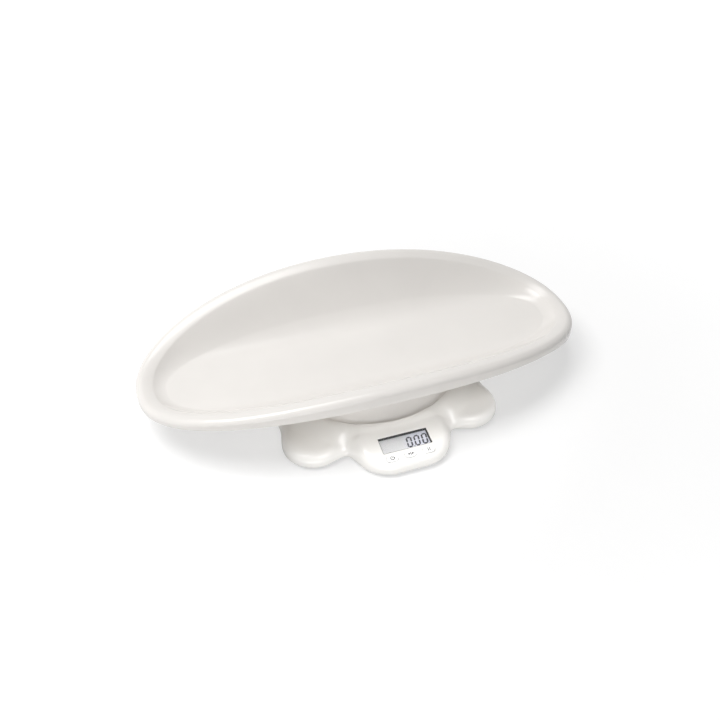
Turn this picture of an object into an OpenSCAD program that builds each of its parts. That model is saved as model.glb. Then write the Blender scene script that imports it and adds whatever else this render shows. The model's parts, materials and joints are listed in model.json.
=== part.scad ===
// Baby weighing scale: a long oval tray stands in the round recess of a lobed base.
// The base holds the display, three keys, the batteries and a load cell over each foot.
// Millimetres. The front, where the display is, faces -Y. The table is z = 0.
// Every module is drawn about the upright axis of the platform; on_axis() then moves it so
// that the origin lies under the middle of the whole scale's outline.

/* [Tray] */
// Length of the tray over its rim
tray_length = 550; // [480:1:600]
// Width of the tray over its rim
tray_width = 270.8; // [250:0.1:272]
// Squareness of the rim's outline, where 2 is an ellipse
rim_power = 2.19; // [2:0.01:2.6]
// Height of the rim above the table, half way along the long sides
rim_height = 91; // [86:0.5:100]
// How much lower the rim is at the two ends
rim_drop = 41.6; // [30:0.1:44]
// Width of the rolled rim
rim_band = 20; // [14:0.5:22]
// Least depth of the rim's outer flange
rim_flange = 11; // [9:0.5:13]
// How much deeper the flange is half way along the long sides
flange_middle = 7; // [0:0.5:8]
// How much deeper the flange is at the right-hand end
flange_end = 8; // [0:0.5:9]
// Thickness of the tray's wall
tray_wall = 3; // [2.4:0.1:3.4]
// Length of the bowl's floor
floor_length = 504; // [440:1:508]
// Width of the bowl's floor
floor_width = 124; // [100:1:140]
// Height of the bowl's floor above the table in the middle
floor_height = 32; // [31:0.5:36]
// How much higher the floor is at its two ends
floor_rise = 7; // [4:0.5:8]
// Outer radius of the round foot's lip, which fills the base's recess
tray_foot_r = 116.4; // [115:0.1:116.5]

/* [Base] */
// Distance from the axis to the front of the display lobe
lobe_reach = 174.5; // [173:0.5:178]
// Width of the display lobe
lobe_width = 115; // [110:1:120]
// Radius of the display lobe's corners
lobe_corner = 40; // [34:1:42]
// Distance of the corner petals from the axis, across
petal_x = 94.5; // [92:0.5:95]
// Distance of the corner petals from the axis, front to back
petal_y = 102; // [99:0.5:104]
// Radius of the corner petals
petal_r = 36.5; // [35:0.5:38]
// Width of the base between the petals
waist_width = 256; // [250:1:260]
// Height of the ridge round the platform
ridge_z = 27; // [26:0.5:28]
// Height of the platform, in the ridge's recess
platform_z = 22.5; // [22:0.5:23]
// Radius of the platform's recess
recess_r = 117; // [117:0.1:118]
// Height of the petals' tops
petal_z = 18; // [17:0.5:20]
// Thickness of the base's shells
shell_wall = 2.6; // [2.2:0.1:3]
// Gap between the base and the table
base_gap = 3; // [2:0.5:4]

/* [Display and keys] */
// Width of the display window
window_w = 58; // [54:0.5:60]
// Depth of the display window, front to back
window_d = 21; // [19:0.5:22]
// Distance of the window's middle from the axis
window_y = 145.5; // [144.5:0.5:147]
// Height of the deck's surface at the window's middle
deck_z = 21.5; // [21:0.1:22]
// Slope of the deck towards the user, in degrees
deck_tilt = 8.1; // [6:0.1:9]
// Length of a key
key_l = 14; // [12:0.5:15]
// Width of a key
key_w = 8; // [7:0.5:8.5]
// Distance between the keys' middles
key_pitch = 21.5; // [20:0.5:22]
// Travel of a key
key_travel = 0.5; // [0.3:0.1:0.6]

/* [Batteries] */
// Diameter of a cell
cell_d = 10.5; // [10.5:0.1:10.5]
// Length of a cell with its cap
cell_l = 44.5; // [44.5:0.1:44.5]
// Travel of the battery cover before it comes off
cover_travel = 6; // [4:0.5:7]

/* [Fineness] */
// Number of points round the tray
tray_steps = 96; // [64:4:128]
// Number of points round the base
base_steps = 120; // [96:4:160]

/* [Hidden] */
$fn = 48;

// Colours
ivory = [0.93, 0.92, 0.89];
key_white = [0.96, 0.96, 0.95];
rubber = [0.25, 0.25, 0.26];
board_green = [0.10, 0.38, 0.22];
steel = [0.70, 0.71, 0.73];
black = [0.06, 0.06, 0.07];

// The tray
rim_a = tray_length / 2;
rim_b = tray_width / 2;
floor_a = floor_length / 2;
floor_b = floor_width / 2;
floor_power = 2.5;
bowl_dish = 1.2;        // how far the floor's edge is above its middle
bowl_hollow = 1.15;     // above 1, the bowl's wall is hollow
rim_step = 4;           // the rim's inner edge is this far below its crest
flange_end_x = 190;     // the flange starts to deepen here, towards the right-hand end
foot_taper = 4;         // the foot's radius shrinks this much towards the top
foot_fillet = 3.6;      // radius of the hollow joint between the foot's wall and its lip
foot_gap = 0.4;         // gap between the lip and the platform, and between the lip and the ridge
foot_z = platform_z + 2;
lug_h = 50;
pad_r = 6;
pad_ring_r = 105;

// The base
front_reach = lobe_reach;
back_reach = petal_y + petal_r;
axis_y = (front_reach - back_reach) / 2;
lobe_back = 90;         // the display lobe's box ends here, under the platform
waist_front = 108;
waist_back = 124;
waist_corner = 60;
valley_blend = 29;      // width of the smooth joints between lobe and petals
side_blend = 20;
edge_round = 13;        // width of the pillow's rounded edge
edge_power = 2.4;
edge_z = 6;             // where the rounded edge starts
edge_tuck = 0.8;        // the wall turns in this much under edge_z
ridge_out = 146;        // where the ridge's flank ends
deck_half = 46;         // the flat deck reaches this far to each side
deck_fade_x = 18;       // width of the joints between deck and petals
deck_fade_y = 10;       // width of the joint between ridge and deck
rib_t = 1.6;
rib_h = 4;
rib_in = 62;
rib_out = 106;
ring_in = 15.4;         // inner and outer radius of the rings over the load cells
ring_out = 18;
plate_t = 2.4;
plate_gap = 0.5;
lip_top = 6.6;          // top of the bottom shell's rim, inside the top shell

// Display and keys, in the sloping deck's own frame, where z = 0 is the outer surface
lens_t = 1.2;
glass_top = -4.2;
glass_t = 2.8;
board_top = -9.2;
board_t = 1.6;
board_w = 66;
board_back = 24;
board_front = 22.5;
frame_wall = 0.5;
frame_top = -1.5;
key_y = -18.4;
key_rise = 0.9;
key_gap = 0.3;
flange_t = 1.1;
flange_top = -3;
pocket_l = 3;           // the pocket under each key is this much longer than the key
pocket_w = 2.4;
switch_h = 3.5;
plunger_r = 1.5;
plunger_z = 1.8;
plunger_out = key_travel + 0.6;
board_posts = [[-10.75, -18], [10.75, -18], [-29, 20], [29, 20]];

// Feet and load cells
cell_side = 34;
cell_t = 2.4;
cell_z = 6.8;
foot_r = 17;
foot_hole_r = 18.5;
holder_top = cell_z + 4.8;
pad_h = 2;
wire_slot_y = -5;       // the wire leaves each holder through a slot this far from its middle

// Batteries
bay_y = 30;
bay_pitch = cell_d + 0.4;
bay_w = 4 * bay_pitch + 0.4;
spring_l = 2.2;
contact_t = 0.5;
bay_l = cell_l + spring_l + 2 * contact_t;
bay_wall = 1.6;
cover_w = bay_w + 5.4;
cover_l = bay_l + 6.4;
cover_t = 1.8;
cover_z = base_gap + 0.2;
cell_mid_z = cover_z + cover_t + 0.3 + cell_d / 2;
bay_roof = cell_mid_z + cell_d / 2 + 0.5;
tab_reach = 3;
tab_ys = [-16, 10];

// Screws
screw_spots = [[58, -72], [98, -15], [90, 50], [38, 92]];
screw_r = 1.25;
screw_head_r = 2.8;
boss_r = 3.8;
boss_z = 8.7;

// ---- Curves ----

function signed_pow(value, power) = sign(value) * pow(abs(value), power);

// Smallest of two distances, with a smooth joint of the given width
function blend(d1, d2, width) =
    let (h = max(width - abs(d1 - d2), 0) / width) min(d1, d2) - h * h * width / 4;

function smooth_step(s) = let (c = min(max(s, 0), 1)) c * c * (3 - 2 * c);

function mix(v0, v1, s) = v0 + (v1 - v0) * s;

// Distance to a rectangle with round corners, negative inside
function box_distance(x, y, y_low, y_high, half_w, corner) =
    let (
        dx = abs(x) - (half_w - corner),
        dy = abs(y - (y_low + y_high) / 2) - ((y_high - y_low) / 2 - corner)
    )
    norm([max(dx, 0), max(dy, 0)]) + min(max(dx, dy), 0) - corner;

// Distance to the lobed outline of the base, negative inside
function base_distance(x, y) =
    let (
        front_petal = norm([abs(x) - petal_x, y + petal_y]) - petal_r,
        back_petal = norm([abs(x) - petal_x, y - petal_y]) - petal_r,
        lobe = box_distance(x, y, -lobe_reach, -lobe_back, lobe_width / 2, lobe_corner),
        waist = box_distance(x, y, -waist_front, waist_back, waist_width / 2, waist_corner)
    )
    blend(blend(front_petal, lobe, valley_blend), blend(back_petal, waist, side_blend), side_blend);

// Radius at which a ray from the axis meets the outline, moved in by inset
function outline_r(angle, inset, low = 60, high = 220, turns = 18) =
    let (
        mid = (low + high) / 2,
        outside = base_distance(mid * cos(angle), mid * sin(angle)) > -inset
    )
    turns == 0 ? mid
    : outside ? outline_r(angle, inset, low, mid, turns - 1)
    : outline_r(angle, inset, mid, high, turns - 1);

function ray_angle(i) = 360 * i / base_steps;

// Height of the base's top before its edge is rounded: ridge, petals and display deck
function crown_z(x, y) =
    let (
        flank = smooth_step((norm([x, y]) - recess_r - 2) / (ridge_out - recess_r - 2)),
        ridge = mix(ridge_z, petal_z, flank),
        deck = deck_z + (y + window_y) * tan(deck_tilt),
        across = 1 - smooth_step((abs(x) - deck_half) / deck_fade_x),
        along = smooth_step((-y - recess_r) / deck_fade_y)
    )
    mix(ridge, deck, across * along);

// The rounded edge: 0 at the outline and 1 further in than edge_round
function edge_rise(inside) =
    let (s = min(max(inside / edge_round, 0), 1)) pow(1 - pow(1 - s, edge_power), 1 / edge_power);

function shell_z(x, y, inset) =
    mix(edge_z, crown_z(x, y) - inset, edge_rise(-base_distance(x, y) - inset));

// ---- Meshes swept round an axis ----

// Triangles between rings of equal size, closed by a point at each end
function ring_faces(count, size) = concat(
    [for (i = [0:size - 1]) [0, 1 + (i + 1) % size, 1 + i]],
    [for (j = [0:count - 2], i = [0:size - 1])
        let (a = 1 + j * size + i, b = 1 + j * size + (i + 1) % size)
        each [[a, b, a + size], [b, b + size, a + size]]],
    [for (i = [0:size - 1])
        [count * size + 1, 1 + (count - 1) * size + i, 1 + (count - 1) * size + (i + 1) % size]]
);

// rings runs from the middle of the top, over the edge, to the middle of the underside
module ring_solid(top, rings, bottom) {
    size = len(rings[0]);
    points = concat([top], [for (ring = rings) each ring], [bottom]);
    polyhedron(points, ring_faces(len(rings), size), convexity = 8);
}

// ---- Tray ----

function tray_angle(i) = 360 * i / tray_steps;
function oval(angle, half_l, half_w, power) =
    [half_l * signed_pow(cos(angle), 2 / power), half_w * signed_pow(sin(angle), 2 / power)];
function rim_point(angle) = oval(angle, rim_a, rim_b, rim_power);
function rim_z(x) = rim_height - rim_drop * pow(x / rim_a, 2);
function flange_depth(x) =
    rim_flange + flange_middle * pow(1 - pow(x / rim_a, 2), 2)
    + flange_end * smooth_step((x - flange_end_x) / (rim_a - flange_end_x));

// Unit vector into the tray, square to the rim
function rim_inward(angle) =
    let (
        p = rim_point(angle),
        g = [
            signed_pow(p.x / rim_a, rim_power - 1) / rim_a,
            signed_pow(p.y / rim_b, rim_power - 1) / rim_b
        ]
    )
    -g / norm(g);

// A point on the rim's section, by its distance in from the edge and below the crest
function band_point(angle, inset, drop) =
    let (p = rim_point(angle), q = p + inset * rim_inward(angle)) [q.x, q.y, rim_z(p.x) - drop];

// A point on the flange's lower edge
function flange_point(angle, inset) = band_point(angle, inset, flange_depth(rim_point(angle).x));

// A point on the floor: part 0 is the middle and part 1 is the floor's edge
function floor_point(angle, part, depth) =
    let (p = part * oval(angle, floor_a, floor_b, floor_power))
    [p.x, p.y, floor_height + floor_rise * pow(p.x / floor_a, 2) + bowl_dish * pow(part, 3) - depth];

// A point on the bowl's wall: part 0 is the floor's edge and part 1 is the rim's inner edge
function wall_point(angle, part, depth) =
    let (
        low = floor_point(angle, 1, 0),
        high = band_point(angle, rim_band, rim_step),
        out = -rim_inward(angle) * depth * 0.72,
        p = mix(low, high, part)
    )
    [p.x + out.x, p.y + out.y, mix(low.z, high.z, pow(part, bowl_hollow)) - depth * 0.72];

// Each entry is the distance in from the edge and the drop below the crest
rim_outside = [
    [rim_band, rim_step], [rim_band - 3, 1.9], [rim_band - 7, 0.6], [10, 0], [6.5, 0.5],
    [3, 2.3], [0.8, 5], [0, 8.4]
];
rim_inside = [
    [tray_wall - 0.4, 8.8], [5.2, 5.2], [10, tray_wall + 0.1],
    [rim_band - 3.4, tray_wall + 2.2]
];

function tray_rings() = concat(
    [for (part = [0.35, 0.7, 0.92, 1]) [for (i = [0:tray_steps - 1]) floor_point(tray_angle(i), part, 0)]],
    [for (part = [0.12, 0.4, 0.72]) [for (i = [0:tray_steps - 1]) wall_point(tray_angle(i), part, 0)]],
    [for (p = rim_outside) [for (i = [0:tray_steps - 1]) band_point(tray_angle(i), p[0], p[1])]],
    [for (inset = [0, tray_wall - 0.4]) [for (i = [0:tray_steps - 1]) flange_point(tray_angle(i), inset)]],
    [for (p = rim_inside) [for (i = [0:tray_steps - 1]) band_point(tray_angle(i), p[0], p[1])]],
    [for (part = [0.72, 0.4, 0.12])
        [for (i = [0:tray_steps - 1]) wall_point(tray_angle(i), part, tray_wall)]],
    [for (part = [0.98, 0.55]) [for (i = [0:tray_steps - 1]) floor_point(tray_angle(i), part, tray_wall)]]
);

// Everything above the middle of the bowl's wall, which trims the foot to the bowl
function bowl_rings(depth) = concat(
    [[for (i = [0:tray_steps - 1]) let (p = wall_point(tray_angle(i), 1, depth)) [p.x, p.y, 160]]],
    [for (part = [1, 0.72, 0.4, 0.12])
        [for (i = [0:tray_steps - 1]) wall_point(tray_angle(i), part, depth)]],
    [for (part = [0.98, 0.55]) [for (i = [0:tray_steps - 1]) floor_point(tray_angle(i), part, depth)]]
);

// Half of the foot's section: a lip in the recess, a hollow fillet and a wall with some taper
function foot_section() =
    let (
        top_z = rim_height - rim_step,
        lip_z = ridge_z - foot_gap,
        wall_r = tray_foot_r - foot_fillet,
        fillet = [
            for (a = [0:18:90])
                [tray_foot_r - foot_fillet * sin(a), lip_z + foot_fillet * (1 - cos(a))]
        ]
    )
    concat(
        [[tray_foot_r, platform_z + foot_gap]], fillet,
        [[wall_r - foot_taper, top_z], [wall_r - foot_taper - tray_wall, top_z]],
        [[wall_r - tray_wall, lip_z + 2], [tray_foot_r - tray_wall, lip_z - 1]],
        [[tray_foot_r - tray_wall, platform_z + foot_gap]]
    );

module tray_foot() {
    difference() {
        union() {
            rotate_extrude($fn = 96) polygon(foot_section());
            for (a = [45:90:315])
                rotate([0, 0, a]) translate([pad_ring_r, 0, foot_z]) cylinder(h = lug_h, r = pad_r + 1);
        }
        ring_solid([0, 0, 160], bowl_rings(tray_wall / 2), [0, 0, floor_height - tray_wall / 2]);
    }
}

module tray() {
    color(ivory) union() {
        ring_solid([0, 0, floor_height], tray_rings(), [0, 0, floor_height - tray_wall]);
        tray_foot();
    }
}

module tray_pads() {
    color(rubber)
        for (a = [45:90:315])
            rotate([0, 0, a]) translate([pad_ring_r, 0, platform_z])
                cylinder(h = foot_z - platform_z, r = pad_r);
}

// ---- Base ----

module on_deck() {
    translate([0, -window_y, deck_z]) rotate([deck_tilt, 0, 0]) children();
}

module at_petals() {
    for (sx = [-1, 1], sy = [-1, 1]) translate([sx * petal_x, sy * petal_y, 0]) children();
}

module at_screws() {
    for (spot = screw_spots, sx = [-1, 1]) translate([sx * spot[0], spot[1], 0]) children();
}

// A bar with round ends, lying along X
module pill(length, width, height) {
    linear_extrude(height) {
        square([length - width, width], center = true);
        for (side = [-1, 1]) translate([side * (length - width) / 2, 0]) circle(d = width);
    }
}

module block(size, z) {
    translate([-size[0] / 2, -size[1] / 2, z]) cube(size);
}

// A ring of the shell between the ridge and the outline, at a part of the way out
function shell_ring(part, inset) = [
    for (i = [0:base_steps - 1])
        let (
            a = ray_angle(i),
            r = mix(recess_r + 4, outline_r(a, inset), part),
            x = r * cos(a),
            y = r * sin(a)
        )
        [x, y, shell_z(x, y, inset)]
];

// A level ring that follows the outline, moved in by inset
function level_ring(inset, z) = [
    for (i = [0:base_steps - 1])
        let (a = ray_angle(i), r = outline_r(a, inset)) [r * cos(a), r * sin(a), z]
];

// A ring of the recess's edge, whose height is lost from the rounded top
function recess_ring(r, drop) = [
    for (i = [0:base_steps - 1])
        let (a = ray_angle(i), x = r * cos(a), y = r * sin(a))
        [x, y, max(shell_z(x, y, 0) - drop, platform_z)]
];

function round_ring(r, z) =
    [for (i = [0:base_steps - 1]) let (a = ray_angle(i)) [r * cos(a), r * sin(a), z]];

module shell_skin() {
    under = platform_z - shell_wall;
    ring_solid(
        [0, 0, platform_z],
        concat(
            [
                round_ring(recess_r - 0.3, platform_z), round_ring(recess_r, platform_z + 0.5),
                recess_ring(recess_r + 0.1, 0.5), recess_ring(recess_r + 0.7, 0.1)
            ],
            [for (part = [0, 0.18, 0.36, 0.52, 0.66, 0.78, 0.87, 0.94, 0.98, 1]) shell_ring(part, 0)],
            [level_ring(edge_tuck, base_gap), level_ring(shell_wall, base_gap)],
            [for (part = [1, 0.98, 0.92, 0.8, 0.6, 0.3, 0]) shell_ring(part, shell_wall)],
            [round_ring(recess_r, under)]
        ),
        [0, 0, under]
    );
}

module key_places() {
    for (i = [-1:1]) translate([i * key_pitch, key_y, 0]) children();
}

// Ribs under the platform, clear of the battery bay
module platform_ribs() {
    low = platform_z - shell_wall - rib_h;
    for (a = [0:30:330])
        rotate([0, 0, a]) translate([rib_in, -rib_t / 2, low]) cube([rib_out - rib_in, rib_t, rib_h + 0.5]);
    translate([0, 0, low]) difference() {
        cylinder(h = rib_h + 0.5, r = rib_in + rib_t, $fn = 96);
        translate([0, 0, -1]) cylinder(h = rib_h + 2, r = rib_in, $fn = 96);
    }
}

module top_shell() {
    inner_z = platform_z - shell_wall;
    color(ivory) difference() {
        union() {
            shell_skin();
            platform_ribs();
            at_screws() translate([0, 0, boss_z]) cylinder(h = inner_z - boss_z + 0.8, r = boss_r);
            at_petals() difference() {
                translate([0, 0, holder_top]) cylinder(h = 5.7, r = ring_out);
                translate([0, 0, holder_top - 1]) cylinder(h = 12, r = ring_in);
            }
            on_deck() {
                for (p = board_posts)
                    translate([p[0], p[1], board_top]) cylinder(h = -board_top - 1.5, r = 2.4);
                block([window_w + 6, window_d + 6, 1.6], -3.6);
            }
        }
        on_deck() {
            block([window_w + 3, window_d + 3, 3], -lens_t);
            block([window_w, window_d, 12], -10);
            key_places() {
                translate([0, 0, -8]) pill(key_l + 2 * key_gap, key_w + 2 * key_gap, 12);
                translate([0, 0, -9]) pill(key_l + pocket_l, key_w + pocket_w, 9 + flange_top + 0.1);
            }
            for (p = board_posts)
                translate([p[0], p[1], board_top - 1]) cylinder(h = 6, r = 0.9, $fn = 24);
        }
        at_screws() translate([0, 0, boss_z - 1]) cylinder(h = 9, r = screw_r, $fn = 24);
    }
}

module base_plate(inset, z, height) {
    outline = [for (p = level_ring(inset, 0)) [p.x, p.y]];
    translate([0, 0, z]) linear_extrude(height) polygon(outline);
}

// The bay for the cells, open downwards
module battery_bay() {
    difference() {
        translate([0, bay_y, base_gap])
            block([bay_w + 2 * bay_wall, bay_l + 2 * bay_wall, bay_roof + bay_wall - base_gap], 0);
        translate([0, bay_y, base_gap]) block([bay_w, bay_l, bay_roof - base_gap], -1);
        for (side = [-1, 1])
            translate([side * bay_w / 4, bay_y - bay_l / 2 - bay_wall / 2, bay_roof - 4])
                rotate([90, 0, 0]) cylinder(h = 4, r = 1.6, center = true);
    }
}

module bottom_shell() {
    wall_inset = shell_wall + plate_gap;
    color(ivory) difference() {
        union() {
            base_plate(wall_inset, base_gap, plate_t);
            difference() {
                base_plate(wall_inset, base_gap + 1, lip_top - base_gap - 1);
                base_plate(wall_inset + 1.6, base_gap, lip_top);
            }
            at_screws() translate([0, 0, base_gap]) cylinder(h = boss_z - base_gap, r = boss_r + 1);
            at_petals() difference() {
                translate([0, 0, base_gap]) cylinder(h = plate_t + 0.8, r = foot_hole_r + 1.6);
                translate([0, 0, base_gap - 1]) cylinder(h = 8, r = foot_hole_r);
            }
            translate([0, bay_y + cover_travel / 2 + 1, base_gap])
                block([cover_w + 9, cover_l + 12 + cover_travel, plate_t + 1.2], 0);
            battery_bay();
        }
        at_petals() translate([0, 0, base_gap - 1]) cylinder(h = 6, r = foot_hole_r);
        at_screws() {
            translate([0, 0, base_gap - 1]) cylinder(h = 3.2, r = screw_head_r + 0.4);
            translate([0, 0, base_gap]) cylinder(h = 8, r = screw_r + 0.4, $fn = 24);
        }
        // The opening for the cells, the shallow bed that the cover slides in and its slots
        translate([0, bay_y, 0]) {
            block([bay_w, bay_l, bay_roof], 0);
            translate([0, cover_travel / 2, 0])
                block([cover_w + 0.6, cover_l + 0.6 + cover_travel, cover_z + cover_t + 0.1], 0);
            for (shift = [0, cover_travel / 2, cover_travel])
                cover_tabs(0.8, cover_z + 0.6, 1.4, shift);
            cover_tabs(0.8, 0, cover_z + 2, cover_travel + 0.6);
        }
    }
}

// Tongues in the plane of the cover: one pair at its front edge and two on each side
module cover_tabs(grow, z, height, shift = 0) {
    for (side = [-1, 1]) {
        translate([side * bay_w / 4, -cover_l / 2 - tab_reach / 2 + 0.2 + shift, 0])
            block([7 + grow, tab_reach + 0.4 + grow, height], z);
        for (y = tab_ys)
            translate([side * (cover_w / 2 + tab_reach / 4), y + shift, 0])
                block([tab_reach / 2 + 0.4 + grow, 6 + grow, height], z);
    }
}

module battery_cover() {
    color(ivory) translate([0, bay_y, 0]) difference() {
        union() {
            block([cover_w, cover_l, cover_t], cover_z);
            cover_tabs(0, cover_z + 0.8, 1);
        }
        for (i = [0:4])
            translate([0, cover_l / 2 - 4 - 2.2 * i, 0]) block([18, 1, cover_z + 0.6], 0);
    }
}

// ---- Display, board and keys ----

module display_lens() {
    color([0.85, 0.88, 0.90, 0.4]) on_deck() block([window_w + 2.6, window_d + 2.6, lens_t - 0.1], -lens_t);
}

module display_frame() {
    color(black) on_deck() difference() {
        union() {
            block([window_w + 5, window_d + 5, -3.7 - board_top], board_top);
            block([window_w - 0.3, window_d - 0.3, frame_top + 3.7], -3.7);
        }
        block([window_w - 0.3 - 2 * frame_wall, window_d - 0.3 - 2 * frame_wall, 20], -12);
        block([window_w + 1.4, window_d + 1.4, glass_top - board_top + 1], board_top - 1);
    }
}

module display_glass() {
    color([0.78, 0.80, 0.86]) on_deck()
        block([window_w + 1, window_d + 1, glass_t - 0.1], glass_top - glass_t);
}

module display_connectors() {
    color([0.85, 0.50, 0.60]) on_deck()
        for (side = [-1, 1])
            translate([0, side * (window_d / 2 - 1.5), 0])
                block([window_w - 4, 2.2, glass_top - glass_t - board_top], board_top);
}

module main_board() {
    color(board_green) on_deck() difference() {
        translate([0, (board_back - board_front) / 2, 0])
            block([board_w, board_back + board_front, board_t], board_top - board_t);
        for (p = board_posts)
            translate([p[0], p[1], board_top - 3]) cylinder(h = 6, r = 1.3, $fn = 24);
    }
}

// Round potted chip, quartz can, two capacitors and the wire header
module board_parts() {
    color(black) on_deck() {
        translate([0, 5, board_top - board_t - 1.2]) cylinder(h = 1.2, r = 6);
        translate([16, 6, board_top - board_t - 1.4]) cylinder(h = 1.4, r = 1.6);
        translate([-16, 6, 0]) block([4, 2.4, 1.2], board_top - board_t - 1.2);
        translate([-16, -2, 0]) block([4, 2.4, 1.2], board_top - board_t - 1.2);
        translate([0, 19.5, 0]) block([40, 5, 4.4], board_top);
    }
}

module key_switches() {
    color(black) on_deck() key_places() difference() {
        block([6, 6, switch_h], board_top);
        translate([0, 0, board_top + 1.2]) cylinder(h = 5, r = plunger_r + 0.3, $fn = 24);
    }
}

module plunger(place) {
    color(steel) on_deck() translate([place * key_pitch, key_y, board_top + plunger_z])
        cylinder(h = switch_h - plunger_z + plunger_out, r = plunger_r, $fn = 24);
}

module on_off_plunger() plunger(-1);
module tare_plunger() plunger(0);
module hold_plunger() plunger(1);

module key(place) {
    color(key_white) on_deck() translate([place * key_pitch, key_y, 0]) {
        translate([0, 0, flange_top]) pill(key_l, key_w, key_rise - 0.35 - flange_top);
        translate([0, 0, key_rise - 0.35]) pill(key_l - 0.7, key_w - 0.7, 0.35);
        translate([0, 0, flange_top - flange_t]) pill(key_l + 1.8, key_w + 1.2, flange_t);
        translate([0, 0, board_top + switch_h + plunger_out])
            cylinder(h = flange_top - 0.5 - board_top - switch_h - plunger_out, r = 1.6, $fn = 24);
    }
}

module on_off_key() key(-1);
module tare_key() key(0);
module hold_key() key(1);

// ---- Load cells and feet ----

// A stamped steel plate whose inner tongue is cut free on three sides
module load_cell(sx, sy) {
    color(steel) translate([sx * petal_x, sy * petal_y, cell_z]) rotate([0, 0, sy > 0 ? 180 : 0])
        linear_extrude(cell_t) difference() {
            square(cell_side, center = true);
            difference() {
                square([23, 23], center = true);
                square([17, 17], center = true);
                translate([0, -10]) square([7, 8], center = true);
            }
            for (side = [-1, 1]) translate([side * 14.3, 14.3]) circle(r = 1.3, $fn = 24);
        }
}

module load_cell_fl() load_cell(-1, -1);
module load_cell_fr() load_cell(1, -1);
module load_cell_rl() load_cell(-1, 1);
module load_cell_rr() load_cell(1, 1);

module foot(sx, sy) {
    color(ivory) translate([sx * petal_x, sy * petal_y, pad_h]) {
        rotate_extrude($fn = 64)
            polygon([[0, 0], [foot_r - 1.5, 0], [foot_r, 1], [foot_r, 2.6], [5, 2.6],
                [4, cell_z - pad_h], [0, cell_z - pad_h]]);
    }
}

module foot_fl() foot(-1, -1);
module foot_fr() foot(1, -1);
module foot_rl() foot(-1, 1);
module foot_rr() foot(1, 1);

module foot_pads() {
    color(rubber) at_petals() cylinder(h = pad_h, r = 14);
}

// Square frames that hold the load cells' edges up against the top shell's rings
module cell_holders() {
    color(key_white) at_petals() difference() {
        intersection() {
            block([40, 40, holder_top - cell_z - 0.4], cell_z + 0.4);
            cylinder(h = 20, r = 25);
        }
        block([cell_side + 0.6, cell_side + 0.6, cell_t], cell_z);
        block([26, 26, 20], 0);
        translate([0, wire_slot_y, 0]) block([50, 3, 6], cell_z + cell_t);
    }
}

// ---- Batteries ----

module battery(place) {
    color([0.30, 0.32, 0.36])
        translate([(place - 1.5) * bay_pitch, bay_y, cell_mid_z])
            rotate([0, 0, place % 2 == 0 ? 0 : 180]) rotate([90, 0, 0]) translate([0, 0, spring_l / 2]) {
                translate([0, 0, -cell_l / 2]) cylinder(h = cell_l - 1, d = cell_d);
                translate([0, 0, cell_l / 2 - 1]) cylinder(h = 1, d = 3.8);
            }
}

module battery_1() battery(0);
module battery_2() battery(1);
module battery_3() battery(2);
module battery_4() battery(3);

// Plates at both ends of the bay with a cone spring for each cell's flat end
module battery_contacts() {
    color(steel) translate([0, bay_y, 0])
        for (i = [0:3], side = [-1, 1])
            translate([(i - 1.5) * bay_pitch, side * (bay_l / 2 - contact_t), cell_mid_z]) {
                translate([0, side * contact_t / 2, 0]) cube([8.4, contact_t, 8.4], center = true);
                if ((i % 2 == 0) == (side > 0))
                    rotate([90 * side, 0, 0]) cylinder(h = spring_l, r1 = 3.2, r2 = 2);
            }
}

// ---- Fasteners ----

module pan_screw(head_r, head_h, shank_r, length) {
    difference() {
        cylinder(h = head_h, r = head_r);
        for (a = [0, 90]) rotate([0, 0, a]) block([head_r * 1.1, 0.6, 1.6], -0.8);
    }
    translate([0, 0, head_h]) cylinder(h = length, r = shank_r, $fn = 24);
}

module shell_screws() {
    color(steel) at_screws() translate([0, 0, base_gap + 0.6]) pan_screw(screw_head_r, 1.6, screw_r, 10);
}

module board_screws() {
    color(steel) on_deck()
        for (p = board_posts)
            translate([p[0], p[1], board_top - board_t - 1.4]) pan_screw(2.2, 1.4, 0.9, 5);
}

// ---- Wires ----

// A round tube along a route
module wire(route, r, sides = 6) {
    count = len(route);
    points = [
        for (j = [0:count - 1])
            let (
                ahead = route[min(j + 1, count - 1)] - route[max(j - 1, 0)],
                across = cross(ahead, [0, 0, 1]) / norm(cross(ahead, [0, 0, 1])),
                up = cross(across, ahead) / norm(cross(across, ahead))
            )
            for (k = [0:sides - 1])
                route[j] + r * (cos(360 * k / sides) * across + sin(360 * k / sides) * up)
    ];
    faces = [
        for (j = [0:count - 2], k = [0:sides - 1])
            let (a = sides * j + k, b = sides * j + (k + 1) % sides)
            each [[a, b, a + sides], [b, b + sides, a + sides]]
    ];
    caps = [[for (k = [sides - 1:-1:0]) k], [for (k = [0:sides - 1]) sides * (count - 1) + k]];
    polyhedron(points, concat(faces, caps), convexity = 4);
}

// A smooth route through hand-picked points
function spline(p, per) = concat(
    [for (j = [0:len(p) - 2], s = [0:per - 1])
        let (
            a = p[max(j - 1, 0)], b = p[j], c = p[j + 1], d = p[min(j + 2, len(p) - 1)], t = s / per
        )
        b + 0.5 * t * (c - a + t * (2 * a - 5 * b + 4 * c - d + t * (3 * b - a - 3 * c + d)))],
    [p[len(p) - 1]]
);

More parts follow.
